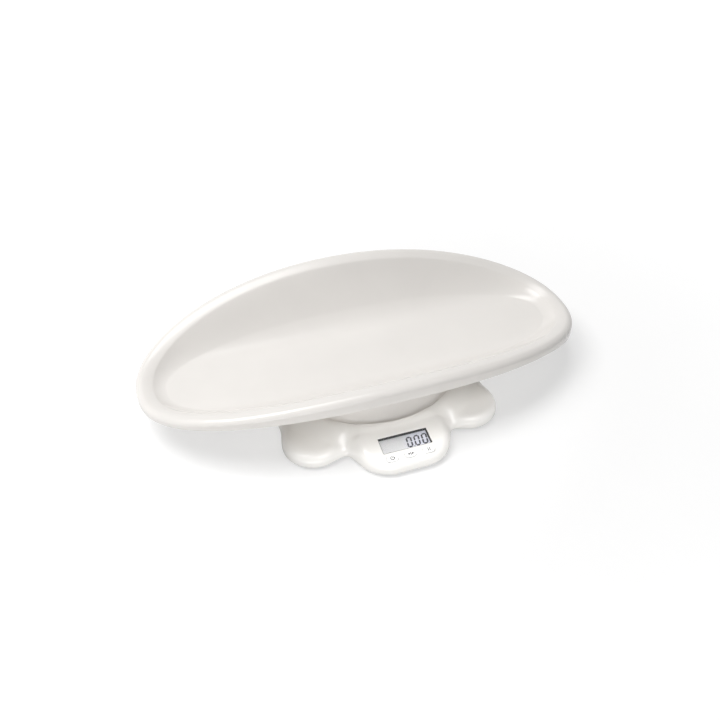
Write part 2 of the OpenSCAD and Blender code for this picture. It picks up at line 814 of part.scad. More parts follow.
wire_r = 1;
wire_steps = 3;
wire_z = 7.2;
wire_cell_z = cell_z + cell_t + wire_r + 0.1;
plug_y = 22.9 - window_y;   // the wires end at the header on the board
plug_z = 18.2;
front_route = [
    [85, -107, wire_cell_z], [74, -107, wire_cell_z], [68, -109, 9], [58, -112, wire_z],
    [36, -114, wire_z], [22, -115, 9], [18, -117.5, 15], [18, plug_y + 4.1, plug_z], [18, plug_y, plug_z]
];
back_route = [
    [85, 97, wire_cell_z], [74, 97, wire_cell_z], [68, 92, 9], [60, 70, wire_z], [56, 20, wire_z],
    [50, -30, wire_z], [34, -80, wire_z], [16, -108, wire_z],
    [12, -115, 10], [12, -117.5, 15], [12, plug_y + 4.1, plug_z], [12, plug_y, plug_z]
];
battery_route = [
    [5, bay_y - bay_l / 2 - 3, 14], [6, -8, 11], [6, -40, wire_z], [5, -100, wire_z], [4, -114, 9],
    [4, -117.5, 15], [4, plug_y + 4.1, plug_z], [4, plug_y, plug_z]
];

function side_route(route, side) = [for (p = route) [side * p.x, p.y, p.z]];

module cell_wire(route, side) {
    color("dimgray") wire(spline(side_route(route, side), wire_steps), wire_r);
}

module cell_wire_fl() cell_wire(front_route, -1);
module cell_wire_fr() cell_wire(front_route, 1);
module cell_wire_rl() cell_wire(back_route, -1);
module cell_wire_rr() cell_wire(back_route, 1);

module battery_wires() {
    color("firebrick")
        for (side = [-1, 1]) wire(spline(side_route(battery_route, side), wire_steps), wire_r);
}

// ---- Assembly ----

module on_axis() {
    translate([0, axis_y, 0]) children();
}

on_axis() tray();
on_axis() tray_pads();
on_axis() top_shell();
on_axis() bottom_shell();
on_axis() display_lens();
on_axis() display_frame();
on_axis() display_glass();
on_axis() display_connectors();
on_axis() main_board();
on_axis() board_parts();
on_axis() key_switches();
on_axis() on_off_key();
on_axis() tare_key();
on_axis() hold_key();
on_axis() on_off_plunger();
on_axis() tare_plunger();
on_axis() hold_plunger();
on_axis() load_cell_fl();
on_axis() load_cell_fr();
on_axis() load_cell_rl();
on_axis() load_cell_rr();
on_axis() foot_fl();
on_axis() foot_fr();
on_axis() foot_rl();
on_axis() foot_rr();
on_axis() cell_holders();
on_axis() foot_pads();
on_axis() battery_cover();
on_axis() battery_1();
on_axis() battery_2();
on_axis() battery_3();
on_axis() battery_4();
on_axis() battery_contacts();
on_axis() shell_screws();
on_axis() board_screws();
on_axis() cell_wire_fl();
on_axis() cell_wire_fr();
on_axis() cell_wire_rl();
on_axis() cell_wire_rr();
on_axis() battery_wires();
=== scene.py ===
# %% [markdown]
# # A digital scale for weighing babies
#
# The scale is a long oval bowl on a low base shaped like a paw. Its working pieces were drawn in a
# CAD program and packed into one file, with a name for each piece and a joint for each that moves.
# This lesson loads that file as a fixed frame, gives every piece a finish, and makes finer meshes
# for the pieces that are seen most. Lengths are metres. The table is z = 0 and the front faces -Y.

import json
import math

import bpy
import numpy as np
from mathutils import Matrix, Vector
from mathutils.bvhtree import BVHTree

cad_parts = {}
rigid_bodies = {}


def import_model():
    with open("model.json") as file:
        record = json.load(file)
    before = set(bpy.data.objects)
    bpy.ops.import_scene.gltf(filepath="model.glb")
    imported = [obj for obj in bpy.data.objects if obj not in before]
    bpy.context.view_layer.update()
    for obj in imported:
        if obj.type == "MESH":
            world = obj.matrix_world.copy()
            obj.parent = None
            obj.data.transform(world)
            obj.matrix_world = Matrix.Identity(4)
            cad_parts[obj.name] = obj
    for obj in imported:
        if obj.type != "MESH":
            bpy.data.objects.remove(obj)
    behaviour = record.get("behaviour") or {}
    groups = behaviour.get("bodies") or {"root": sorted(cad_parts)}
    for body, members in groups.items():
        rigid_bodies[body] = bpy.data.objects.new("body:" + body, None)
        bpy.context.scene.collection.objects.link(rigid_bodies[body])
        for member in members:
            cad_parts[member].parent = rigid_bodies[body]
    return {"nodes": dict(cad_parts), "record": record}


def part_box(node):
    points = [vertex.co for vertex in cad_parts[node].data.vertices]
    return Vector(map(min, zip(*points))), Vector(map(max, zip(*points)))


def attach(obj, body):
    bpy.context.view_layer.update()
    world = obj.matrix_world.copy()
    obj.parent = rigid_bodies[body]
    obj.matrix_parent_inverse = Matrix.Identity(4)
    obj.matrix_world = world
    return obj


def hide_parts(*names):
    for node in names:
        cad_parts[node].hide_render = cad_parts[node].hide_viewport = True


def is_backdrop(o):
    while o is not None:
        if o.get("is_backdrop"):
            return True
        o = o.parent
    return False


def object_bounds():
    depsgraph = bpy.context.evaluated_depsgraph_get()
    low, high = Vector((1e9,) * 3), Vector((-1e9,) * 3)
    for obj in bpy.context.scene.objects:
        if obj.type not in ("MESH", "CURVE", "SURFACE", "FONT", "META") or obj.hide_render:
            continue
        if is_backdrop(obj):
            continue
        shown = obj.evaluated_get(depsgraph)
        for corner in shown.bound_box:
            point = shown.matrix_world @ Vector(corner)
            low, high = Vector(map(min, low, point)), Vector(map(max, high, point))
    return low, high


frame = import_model()
cad_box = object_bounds()
MM = 0.001

# %% [markdown]
# ## Camera
#
# A product photograph is taken from far enough away to keep the shape honest. The camera stands to
# the left of the front and looks down by two fifths of a right angle. It is placed by two angles
# and a distance from the point it looks at, because those are the numbers a photographer would
# give.

# %% Camera
CAMERA_TURN = math.radians(-18.5)
CAMERA_RISE = math.radians(41.63)
CAMERA_DISTANCE = 962 * MM
CAMERA_AIM = Vector((-11.3 * MM, -2.5 * MM, 40 * MM))
CAMERA_LENS, CAMERA_SENSOR = 39.72, 36

camera_data = bpy.data.cameras.new("camera")
camera_data.lens, camera_data.sensor_width = CAMERA_LENS, CAMERA_SENSOR
camera = bpy.data.objects.new("camera", camera_data)
bpy.context.scene.collection.objects.link(camera)
camera_back = Vector((
    math.sin(CAMERA_TURN) * math.cos(CAMERA_RISE),
    -math.cos(CAMERA_TURN) * math.cos(CAMERA_RISE),
    math.sin(CAMERA_RISE),
))
camera.location = CAMERA_AIM + CAMERA_DISTANCE * camera_back
camera.rotation_euler = camera_back.to_track_quat("Z", "Y").to_euler()
bpy.context.scene.camera = camera
print("camera at", [round(v, 3) for v in camera.location])

# %% [markdown]
# ## Formulas in a node tree
#
# Shaders and geometry are both made of nodes here, and both do arithmetic with the same Math node.
# Wiring those by hand hides the formula. The Field class below stands for one socket, and its
# operators add the Math nodes, so a formula in this file reads as it would on paper.

# %% A value that flows through a node tree


class Field:
    """One output socket, with arithmetic that adds Math nodes to its tree."""

    def __init__(self, tree, socket):
        self.tree = tree
        self.socket = socket

    def math(self, operation, *others, first=None):
        node = self.tree.nodes.new("ShaderNodeMath")
        node.operation = operation
        values = (self, *others) if first is None else (first, self)
        for socket, value in zip(node.inputs, values):
            plug(self.tree, value, socket)
        return Field(self.tree, node.outputs["Value"])

    def __add__(self, other):
        return self.math("ADD", other)

    def __sub__(self, other):
        return self.math("SUBTRACT", other)

    def __mul__(self, other):
        return self.math("MULTIPLY", other)

    def __truediv__(self, other):
        return self.math("DIVIDE", other)

    def __pow__(self, other):
        return self.math("POWER", other)

    def __rsub__(self, other):
        return self.math("SUBTRACT", first=other)

    def __rtruediv__(self, other):
        return self.math("DIVIDE", first=other)

    def __rpow__(self, other):
        return self.math("POWER", first=other)

    __radd__ = __add__
    __rmul__ = __mul__


def plug(tree, value, socket):
    """Feeds a socket from a Field, from another socket or with a plain value."""
    if isinstance(value, Field):
        tree.links.new(value.socket, socket)
    elif isinstance(value, bpy.types.NodeSocket):
        tree.links.new(value, socket)
    else:
        socket.default_value = value


def add_node(tree, kind, settings=None, **inputs):
    """Adds a node, sets its properties, and feeds its inputs by name, with _ for each space."""
    node = tree.nodes.new(kind)
    for name, value in (settings or {}).items():
        setattr(node, name, value)
    for name, value in inputs.items():
        plug(tree, value, node.inputs[name.replace("_", " ")])
    return node


print("arithmetic ready")

# %% [markdown]
# ## Finishes
#
# No moulded surface is one flat colour. Pigment drifts a little through the melt, the gloss is
# uneven where the mould was polished by hand, and the skin has a fine ripple. Three noise patterns
# of different scale give these to one Principled shader. All read Object coordinates, so they
# need no UV map and stay with the piece when it moves.

# %% The shared recipe for a finish
NOISE_LOW, NOISE_HIGH = 0.3, 0.7


def shader_of(material):
    return material.node_tree.nodes["Principled BSDF"]


def own_axis(tree, axis):
    """One of the piece's own coordinates, as a Field."""
    place = add_node(tree, "ShaderNodeTexCoord").outputs["Object"]
    return Field(tree, add_node(tree, "ShaderNodeSeparateXYZ", Vector=place).outputs[axis])


def noise(tree, scale, detail=2.0, stretch=(1, 1, 1)):
    """A noise pattern on the piece's own coordinates, as a Field from 0 to 1."""
    place = add_node(tree, "ShaderNodeTexCoord").outputs["Object"]
    mapping = add_node(tree, "ShaderNodeMapping", Vector=place, Scale=stretch)
    pattern = add_node(
        tree, "ShaderNodeTexNoise", Vector=mapping.outputs["Vector"], Scale=scale, Detail=detail
    )
    return Field(tree, pattern.outputs["Fac"])


def ranged(field, start, end, low, high):
    """Carries the range from start to end onto the range from low to high, and stops at both."""
    node = add_node(
        field.tree, "ShaderNodeMapRange", Value=field,
        From_Min=start, From_Max=end, To_Min=low, To_Max=high,
    )
    return Field(field.tree, node.outputs["Result"])


def spread(field, low, high):
    """Stretches the useful middle of a noise pattern to run from low to high."""
    return ranged(field, NOISE_LOW, NOISE_HIGH, low, high)


def tint(tree, amount, dark, light):
    """A colour between dark and light, by a Field from 0 to 1."""
    node = add_node(tree, "ShaderNodeMix", {"data_type": "RGBA"})
    plug(tree, amount, node.inputs[0])
    node.inputs[6].default_value = (*dark, 1)
    node.inputs[7].default_value = (*light, 1)
    return node.outputs[2]


def linear(red, green, blue):
    """Turns the red, green and blue that a screen shows into the linear light shaders use."""
    return tuple(
        v / 12.92 if v <= 0.04045 else ((v + 0.055) / 1.055) ** 2.4 for v in (red, green, blue)
    )


def shade(colour, share):
    """The same colour, with its light scaled by share."""
    return tuple(v * share for v in colour)


def finish(
    name, colour, drift=0.04, drift_scale=14, gloss=(0.18, 0.26), gloss_scale=60,
    ripple=0.05, ripple_scale=700, ripple_depth=0.1, stretch=(1, 1, 1), metallic=0.0, coat=0.0,
):
    """A finish with colour that drifts, gloss that varies and a fine ripple in the surface."""
    material = bpy.data.materials.new(name)
    material.use_nodes = True
    tree, shader = material.node_tree, shader_of(material)
    shader.inputs["Metallic"].default_value = metallic
    shader.inputs["Coat Weight"].default_value = coat
    amount = spread(noise(tree, drift_scale, 3.0, stretch), 0, 1)
    plug(tree, tint(tree, amount, shade(colour, 1 - drift), colour), shader.inputs["Base Color"])
    plug(tree, spread(noise(tree, gloss_scale, 2.0, stretch), *gloss), shader.inputs["Roughness"])
    skin = add_node(
        tree, "ShaderNodeBump", Strength=ripple, Distance=ripple_depth * MM,
        Height=noise(tree, ripple_scale, 2.0, stretch),
    )
    plug(tree, skin.outputs["Normal"], shader.inputs["Normal"])
    return material


print("recipe ready")

# %% [markdown]
# ## The plastics
#
# The tray and the base are glossy ivory ABS. The keys come from another mould and are whiter, with
# less gloss. The frame behind the window is matt black, so that no light reaches the display from
# the side. The load-cell holders are natural, unpolished plastic.

# %% Plastics
ivory = linear(0.955, 0.941, 0.924)
tray_plastic = finish("ivory_tray_plastic", ivory, drift=0.03, gloss=(0.19, 0.255))
base_plastic = finish(
    "ivory_base_plastic", linear(0.955, 0.948, 0.934), drift=0.03, gloss=(0.16, 0.24)
)
key_plastic = finish(
    "white_key_plastic", linear(0.965, 0.965, 0.96), drift=0.03, gloss=(0.28, 0.38)
)
frame_plastic = finish(
    "matt_black_frame", linear(0.045, 0.045, 0.05), 0.3, gloss=(0.55, 0.7), ripple=0.3
)
holder_plastic = finish(
    "natural_holder_plastic", linear(0.86, 0.86, 0.83), gloss=(0.4, 0.52), ripple=0.15
)
sign_ink = finish("grey_sign_ink", linear(0.09, 0.09, 0.1), 0.25, gloss=(0.6, 0.75), ripple=0.2)
print("plastics:", tray_plastic.name, base_plastic.name, key_plastic.name)

# %% [markdown]
# ## Rubber, metal and the rest
#
# The same recipe serves the other pieces, with other numbers. Rubber is rough and grainy. Rolled
# and drawn metal has marks along one direction, which the stretch of the noise gives. A circuit
# board has a green lacquer over copper, and the copper shows as a drift towards a lighter green.
# The jacket of a battery cell stops short of its two ends, which are bare nickel.

# %% Rubber, metal and electronics
# after the colour: drift, its scale, gloss, its scale, ripple, its scale, its depth in mm,
# stretch, metallic, coat
rubber = finish(
    "grey_rubber", linear(0.26, 0.26, 0.27), 0.3, 60, (0.7, 0.85), 200, 0.5, 1500, 0.15
)
rolled_steel = finish(
    "rolled_steel", linear(0.72, 0.73, 0.75), 0.18, 160, (0.28, 0.44), 240, 0.2, 500, 0.05,
    (1, 14, 1), 1.0,
)
screw_steel = finish(
    "zinc_screw_steel", linear(0.76, 0.77, 0.80), 0.15, 300, (0.22, 0.36), 300, 0.2, 900, 0.05,
    metallic=1.0,
)
nickel = finish(
    "nickel_contacts", linear(0.80, 0.78, 0.74), 0.15, 200, (0.2, 0.34), 260, 0.2, 800, 0.05,
    metallic=1.0,
)
board_lacquer = finish(
    "green_board_lacquer", linear(0.16, 0.45, 0.28), 0.45, 260, (0.25, 0.4), 200, 0.3, 260, 0.1,
    (1, 3, 1),
)
chip_epoxy = finish("black_epoxy", linear(0.10, 0.10, 0.11), 0.3, 150, (0.45, 0.6), 150, 0.3, 800)
zebra_rubber = finish(
    "layered_rubber", linear(0.88, 0.62, 0.68), 0.6, 900, (0.55, 0.7), 200, 0.2, 900, 0.1,
    (3, 0.1, 0.1),
)
jacket = finish(
    "battery_jacket", linear(0.30, 0.36, 0.46), 0.35, 40, (0.2, 0.32), 90, 0.1, 400, 0.1,
    (1, 0.15, 1), 0.3, 0.4,
)
JACKET_MIDDLE, JACKET_HALF = 48 * MM, 20.6 * MM
JACKET_METALLIC = 0.3
jacket_tree = jacket.node_tree
from_middle = (own_axis(jacket_tree, "Y") - JACKET_MIDDLE).math("ABSOLUTE")
bare = from_middle.math("GREATER_THAN", JACKET_HALF)
jacket_metallic = bare * (1 - JACKET_METALLIC) + JACKET_METALLIC
plug(jacket_tree, jacket_metallic, shader_of(jacket).inputs["Metallic"])
plug(
    jacket_tree, tint(jacket_tree, bare, linear(0.27, 0.33, 0.44), linear(0.80, 0.79, 0.76)),
    shader_of(jacket).inputs["Base Color"],
)
grey_wire = finish("grey_insulation", linear(0.42, 0.42, 0.44), 0.2, 120, (0.35, 0.5), 90, 0.2, 900)
red_wire = finish("red_insulation", linear(0.70, 0.16, 0.13), 0.2, 120, (0.35, 0.5), 90, 0.2, 900)
print("metals:", rolled_steel.name, screw_steel.name, nickel.name)

# %% [markdown]
# ## Window and display glass
#
# The window is a thin clear plate. It is drawn as a Principled shader that is almost transparent, with
# only its gloss left, because a plate this thin bends light too little to see. The display behind it is
# a grey cell. Its rear film is a little brighter and bluer where the digits are, so the colour runs
# across the cell, along X. The cell also has a faint painted glow of its own, though it is no lamp.

# %% Clear window and liquid crystal cell
clear_window = finish(
    "clear_window", linear(0.93, 0.95, 0.96), 0.02, gloss=(0.04, 0.08), ripple=0.02
)
shader_of(clear_window).inputs["Alpha"].default_value = 0.03

display_cell = finish(
    "display_cell", linear(0.86, 0.86, 0.875), 0.03, 30, (0.3, 0.36), 50, 0.04, 1200
)
cell_tree, cell_shader = display_cell.node_tree, shader_of(display_cell)
CELL_GREY_X, CELL_LILAC_X = -4 * MM, 12 * MM
lilac_share = ranged(own_axis(cell_tree, "X"), CELL_GREY_X, CELL_LILAC_X, 0.0, 1.0)
plug(
    cell_tree, tint(cell_tree, lilac_share, linear(0.885, 0.885, 0.89), linear(0.915, 0.92, 0.965)),
    cell_shader.inputs["Base Color"],
)
# Painted glow: a faint emission makes the cell give off light of its own, though it is no lamp.
cell_shader.inputs["Emission Color"].default_value = (0.9, 0.92, 1, 1)
cell_shader.inputs["Emission Strength"].default_value = 0.01
digit_ink = finish("dark_digit_film", linear(0.12, 0.13, 0.21), 0.2, 90, (0.3, 0.4), 90, 0.05, 900)
print("display:", clear_window.name, display_cell.name, digit_ink.name)

# %% [markdown]
# ## Helpers that finish a piece
#
# Every new piece ends the same way: it rides on the body it belongs to, and the CAD pieces it stands
# for are hidden. The other helpers turn points into a mesh. Edges sharper than an angle stay crisp, and
# the rest is smooth.

# %% Helpers for meshes
CRISP_ANGLE = math.radians(32)


def keep(piece, body, slot, *stands_for):
    """Puts a finished piece on its body, in place of the CAD pieces named, which it hides; slot is not
    used.
    """
    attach(piece, body)
    if stands_for:
        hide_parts(*stands_for)
    print(f"{piece.name}: {len(piece.data.polygons)} faces on {body}")
    return piece


def piece_from(name, points, faces, material):
    """A new object from points and faces, with crisp edges where two faces meet sharply."""
    mesh = bpy.data.meshes.new(name)
    mesh.from_pydata([tuple(p) for p in points], [], faces)
    mesh.materials.append(material)
    mesh.shade_smooth()
    mesh.set_sharp_from_angle(angle=CRISP_ANGLE)
    piece = bpy.data.objects.new(name, mesh)
    bpy.context.scene.collection.objects.link(piece)
    return piece


def loft_faces(ring_count, size):
    """Quads between rings of equal size, and one face to close each end."""
    faces = []
    for ring in range(ring_count - 1):
        for i in range(size):
            a, b = ring * size + i, ring * size + (i + 1) % size
            faces.append((a, b, b + size, a + size))
    faces.append(tuple(reversed(range(size))))
    faces.append(tuple((ring_count - 1) * size + i for i in range(size)))
    return faces


def loft(name, rings, material):
    """A closed solid through rings of points that go up, each counter-clockwise from above."""
    points = [p for ring in rings for p in ring]
    return piece_from(name, points, loft_faces(len(rings), len(rings[0])), material)


def circle(radius, steps, centre=(0, 0)):
    """A circle about a centre, counter-clockwise."""
    turns = [2 * math.pi * i / steps for i in range(steps)]
    return [(centre[0] + radius * math.cos(a), centre[1] + radius * math.sin(a)) for a in turns]


def round_rect(width, depth, radius, steps=8):
    """A rectangle with round corners about the origin, counter-clockwise."""
    points = []
    for quarter, (sx, sy) in enumerate(((1, 1), (-1, 1), (-1, -1), (1, -1))):
        for step in range(steps + 1):
            angle = math.radians(90) * (quarter + step / steps)
            points.append((
                sx * (width / 2 - radius) + radius * math.cos(angle),
                sy * (depth / 2 - radius) + radius * math.sin(angle),
            ))
    return points


def joined(name, pieces):
    """One mesh from several closed ones that share a material."""
    points, faces = [], []
    for piece in pieces:
        start = len(points)
        points += [tuple(v.co) for v in piece.data.vertices]
        faces += [tuple(start + i for i in face.vertices) for face in piece.data.polygons]
    material = pieces[0].data.materials[0]
    for piece in pieces:
        bpy.data.objects.remove(piece)
    return piece_from(name, points, faces, material)


print("mesh helpers ready")

# %% [markdown]
# ## Helpers that grow a piece from a geometry tree
#
# A geometry tree is a recipe: its inputs are sizes, and its output is a mesh. It runs as a
# modifier, and each input is set by the identifier of its socket. The result is then kept as a plain
# mesh and the modifier taken away, so the piece that is left needs no recipe.
#
# Most pieces here are skins made of strips. A grid node makes each strip flat, one unit square.
# Its X becomes the angle round the piece and its Y the share along the strip, and Set Position
# moves every point to its place. The strips are joined, and points that meet are merged, which
# closes the seams.

# %% Helpers for geometry trees
LENGTH, VECTOR, WHOLE = "NodeSocketFloat", "NodeSocketVector", "NodeSocketInt"
MATERIAL = "NodeSocketMaterial"
QUARTER = math.pi / 2
SEAM = 0.01 * MM


def new_recipe(name, inputs, seeded=False):
    """A geometry tree with named inputs, each given as (socket type, value), and its input node."""
    tree = bpy.data.node_groups.new(name, "GeometryNodeTree")
    tree.interface.new_socket("Geometry", in_out="OUTPUT", socket_type="NodeSocketGeometry")
    if seeded:
        tree.interface.new_socket("Places", in_out="INPUT", socket_type="NodeSocketGeometry")
    for label, (kind, value) in inputs.items():
        socket = tree.interface.new_socket(label, in_out="INPUT", socket_type=kind)
        if kind != MATERIAL:
            socket.default_value = value
    return tree, tree.nodes.new("NodeGroupInput")


def end_recipe(tree, entry, geometry):
    """Makes the instances real, sets the material and closes the recipe."""
    real = add_node(tree, "GeometryNodeRealizeInstances", Geometry=geometry)
    painted = add_node(
        tree, "GeometryNodeSetMaterial", Geometry=real.outputs["Geometry"],
        Material=entry.outputs["Material"],
    )
    output = tree.nodes.new("NodeGroupOutput")
    plug(tree, painted.outputs["Geometry"], output.inputs["Geometry"])


def grow(name, tree, inputs, places=()):
    """Runs a recipe, on a mesh of places where it takes one, and keeps its result as a mesh."""
    seed = bpy.data.meshes.new(name + "_places")
    seed.from_pydata([tuple(p) for p in places], [], [])
    piece = bpy.data.objects.new(name, seed)
    bpy.context.scene.collection.objects.link(piece)
    modifier = piece.modifiers.new("recipe", "NODES")
    modifier.node_group = tree
    for socket in tree.interface.items_tree:
        if socket.in_out == "INPUT" and socket.name in inputs:
            modifier[socket.identifier] = inputs[socket.name][1]
    evaluated = piece.evaluated_get(bpy.context.evaluated_depsgraph_get())
    mesh = bpy.data.meshes.new_from_object(evaluated)
    piece.modifiers.remove(modifier)
    piece.data = mesh
    mesh.name = name
    mesh.set_sharp_from_angle(angle=CRISP_ANGLE)
    return piece


def mixed(low, high, share):
    return low + (high - low) * share


def between(first, second, share):
    """The point a share of the way from one point to another."""
    return tuple(mixed(a, b, share) for a, b in zip(first, second))


def quarter(share):
    """Sine and cosine of a share of a quarter turn."""
    turn = share * QUARTER
    return turn.math("SINE"), turn.math("COSINE")


def grid_place(tree):
    """The angle and the share that a point of a unit grid stands for, as Fields."""
    place = tree.nodes.new("GeometryNodeInputPosition").outputs["Position"]
    corner = add_node(tree, "ShaderNodeSeparateXYZ", Vector=place)
    angle = (Field(tree, corner.outputs["X"]) + 0.5) * (2 * math.pi)
    return angle, Field(tree, corner.outputs["Y"]) + 0.5


def skin_of(tree, entry, strips, share, seam):
    """One smooth skin of strips, each given as its stations and the rule that places its points."""
    together = tree.nodes.new("GeometryNodeJoinGeometry")
    for stations, rule in strips:
        grid = add_node(
            tree, "GeometryNodeMeshGrid", Size_X=1.0, Size_Y=1.0,
            Vertices_X=entry.outputs["Around"], Vertices_Y=stations + 1,
        )
        x, y, z = rule(share)
        place = add_node(tree, "ShaderNodeCombineXYZ", X=x, Y=y, Z=z)
        strip = add_node(
            tree, "GeometryNodeSetPosition", Geometry=grid.outputs["Mesh"],
            Position=place.outputs["Vector"],
        )
        tree.links.new(strip.outputs["Geometry"], together.inputs["Geometry"])
    closed = add_node(
        tree, "GeometryNodeMergeByDistance", Geometry=together.outputs["Geometry"], Distance=seam
    )
    smooth = add_node(tree, "GeometryNodeSetShadeSmooth", Geometry=closed.outputs["Geometry"])
    return smooth.outputs["Geometry"]


print("recipe helpers ready")

# %% [markdown]
# ## The tray's surface
#
# The tray is one moulding: a flat floor, a wall that flares up, and a rolled rim that is arched
# along its length, high at the sides and low at the ends. All of it follows one rule. The rim and
# the floor are superellipses, and every other line lies between them. So the tray is grown by a
# geometry tree, with a strip for each part of its section. The CAD piece gives the outer sizes.

# %% Sizes of the tray
tray_low, tray_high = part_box("tray")
middle_y = (tray_low.y + tray_high.y) / 2
tray_sizes = {
    "Half length": (LENGTH, (tray_high.x - tray_low.x) / 2),
    "Half width": (LENGTH, (tray_high.y - tray_low.y) / 2),
    "Rim height": (LENGTH, tray_high.z),
    "Middle": (LENGTH, middle_y),
    "End drop": (LENGTH, 41.6 * MM),
    "Rim squareness": (LENGTH, 2.19),
    "Rim band": (LENGTH, 20 * MM),
    "Band step": (LENGTH, 4 * MM),
    "Crest inset": (LENGTH, 7.5 * MM),
    "Roll drop": (LENGTH, 6.8 * MM),
    "Flange": (LENGTH, 11 * MM),
    "Flange middle": (LENGTH, 7 * MM),
    "Flange end": (LENGTH, 8 * MM),
    "Flange end start": (LENGTH, 190 * MM),
    "Wall": (LENGTH, 3 * MM),
    "Lip": (LENGTH, 2.6 * MM),
    "Floor half length": (LENGTH, 236 * MM),
    "Floor half width": (LENGTH, 56.5 * MM),
    "Floor squareness": (LENGTH, 2.5),
    "Floor height": (LENGTH, 32 * MM),
    "Floor rise": (LENGTH, 5.5 * MM),
    "Rise power": (LENGTH, 3.0),
    "Dish": (LENGTH, 1.2 * MM),
    "Hollow": (LENGTH, 1.2),
    "End hollow": (LENGTH, 0.9),
    "Around": (WHOLE, 481),
    "Material": (MATERIAL, tray_plastic),
}
print("tray", round((tray_high.x - tray_low.x) / MM), "mm long, middle y", round(middle_y / MM, 2))

# %% The rules that every line of the tray follows
WALL_SHIFT = 0.72


def signed_power(value, power):
    return value.math("SIGN") * value.math("ABSOLUTE") ** power


def bend(start, corner, end, share):
    """A point on the rounded corner that leaves start and reaches end, drawn towards corner."""
    return between(between(start, corner, share), between(corner, end, share), share)


class TraySurface:
    """Places on the tray, by the angle round it, as Fields of one geometry tree."""

    def __init__(self, tree, entry, angle):
        names = [name for name in tray_sizes if name != "Material"]
        self.size = {name: Field(tree, entry.outputs[name]) for name in names}
        size = self.size
        turn_x, turn_y = angle.math("COSINE"), angle.math("SINE")
        rim_power = size["Rim squareness"]
        self.rim_x = signed_power(turn_x, 2 / rim_power)
        self.rim_y = signed_power(turn_y, 2 / rim_power)
        slope_x = signed_power(self.rim_x, rim_power - 1) / size["Half length"]
        slope_y = signed_power(self.rim_y, rim_power - 1) / size["Half width"]
        steepness = (slope_x * slope_x + slope_y * slope_y).math("SQRT")
        self.in_x, self.in_y = slope_x / steepness * -1, slope_y / steepness * -1
        self.floor_x = signed_power(turn_x, 2 / size["Floor squareness"])
        self.floor_y = signed_power(turn_y, 2 / size["Floor squareness"])
        self.crest = size["Rim height"] - size["End drop"] * self.rim_x * self.rim_x
        middle = (1 - self.rim_x * self.rim_x) * (1 - self.rim_x * self.rim_x)
        past = self.rim_x * size["Half length"] - size["Flange end start"]
        past = (past / (size["Half length"] - size["Flange end start"])).math("MAXIMUM", 0.0)
        end_share = past * past * (3 - past * 2)
        self.flange = (
            size["Flange"] + size["Flange middle"] * middle + size["Flange end"] * end_share
        )

    def placed(self, point):
        """The same point, moved to the tray's own middle."""
        x, y, z = point
        return x, y + self.size["Middle"], z

    def band(self, inset, drop):
        """A point of the rim, by its distance in from the edge and below the crest."""
        size = self.size
        return (
            self.rim_x * size["Half length"] + self.in_x * inset,
            self.rim_y * size["Half width"] + self.in_y * inset,
            self.crest - drop,
        )

    def floor(self, part, depth=0.0):
        """A point of the floor: part is 0 in the middle and 1 at its edge."""
        size = self.size
        rise = size["Floor rise"] * (self.floor_x * part).math("ABSOLUTE") ** size["Rise power"]
        return (
            self.floor_x * size["Floor half length"] * part,
            self.floor_y * size["Floor half width"] * part,
            size["Floor height"] + rise + size["Dish"] * part * part * part - depth,
        )

    def wall(self, part, depth=0.0):
        """A point of the wall: part is 0 at the floor's edge and 1 at the rim's inner edge."""
        size = self.size
        low = self.floor(1.0)
        high = self.band(size["Rim band"], size["Band step"])
        hollow = size["Hollow"] + size["End hollow"] * self.rim_x ** 4
        shift = depth * WALL_SHIFT
        return (
            mixed(low[0], high[0], part) - self.in_x * shift,
            mixed(low[1], high[1], part) - self.in_y * shift,
            mixed(low[2], high[2], part ** hollow) - shift,
        )


print("rules ready")

# %% [markdown]
# ## The strips of the tray's section
#
# The section runs from the middle of the underside, out to the lip, over the rim and back in to the
# middle of the floor. Two corners of the section are rounded, at the floor's edge and at the rim's
# inner edge, because moulded corners catch the light as soft lines. Each strip gives a point for a
# share from 0 to 1 of its own length.

# %% Strips, in the order of the section
HEEL_IN, HEEL_OUT = 0.74, 0.28
SHOULDER_LOW, SHOULDER_HIGH = 0.97, 0.88
UNDER_SHOULDER = 0.86
BAND_BEND = 1.4


def band_curve(surface, share):
    """The rim's upper face from its crest inwards: share 1 is its inner edge."""
    size = surface.size
    inset = mixed(size["Crest inset"], size["Rim band"], share)
    return surface.band(inset, size["Band step"] * share ** BAND_BEND)


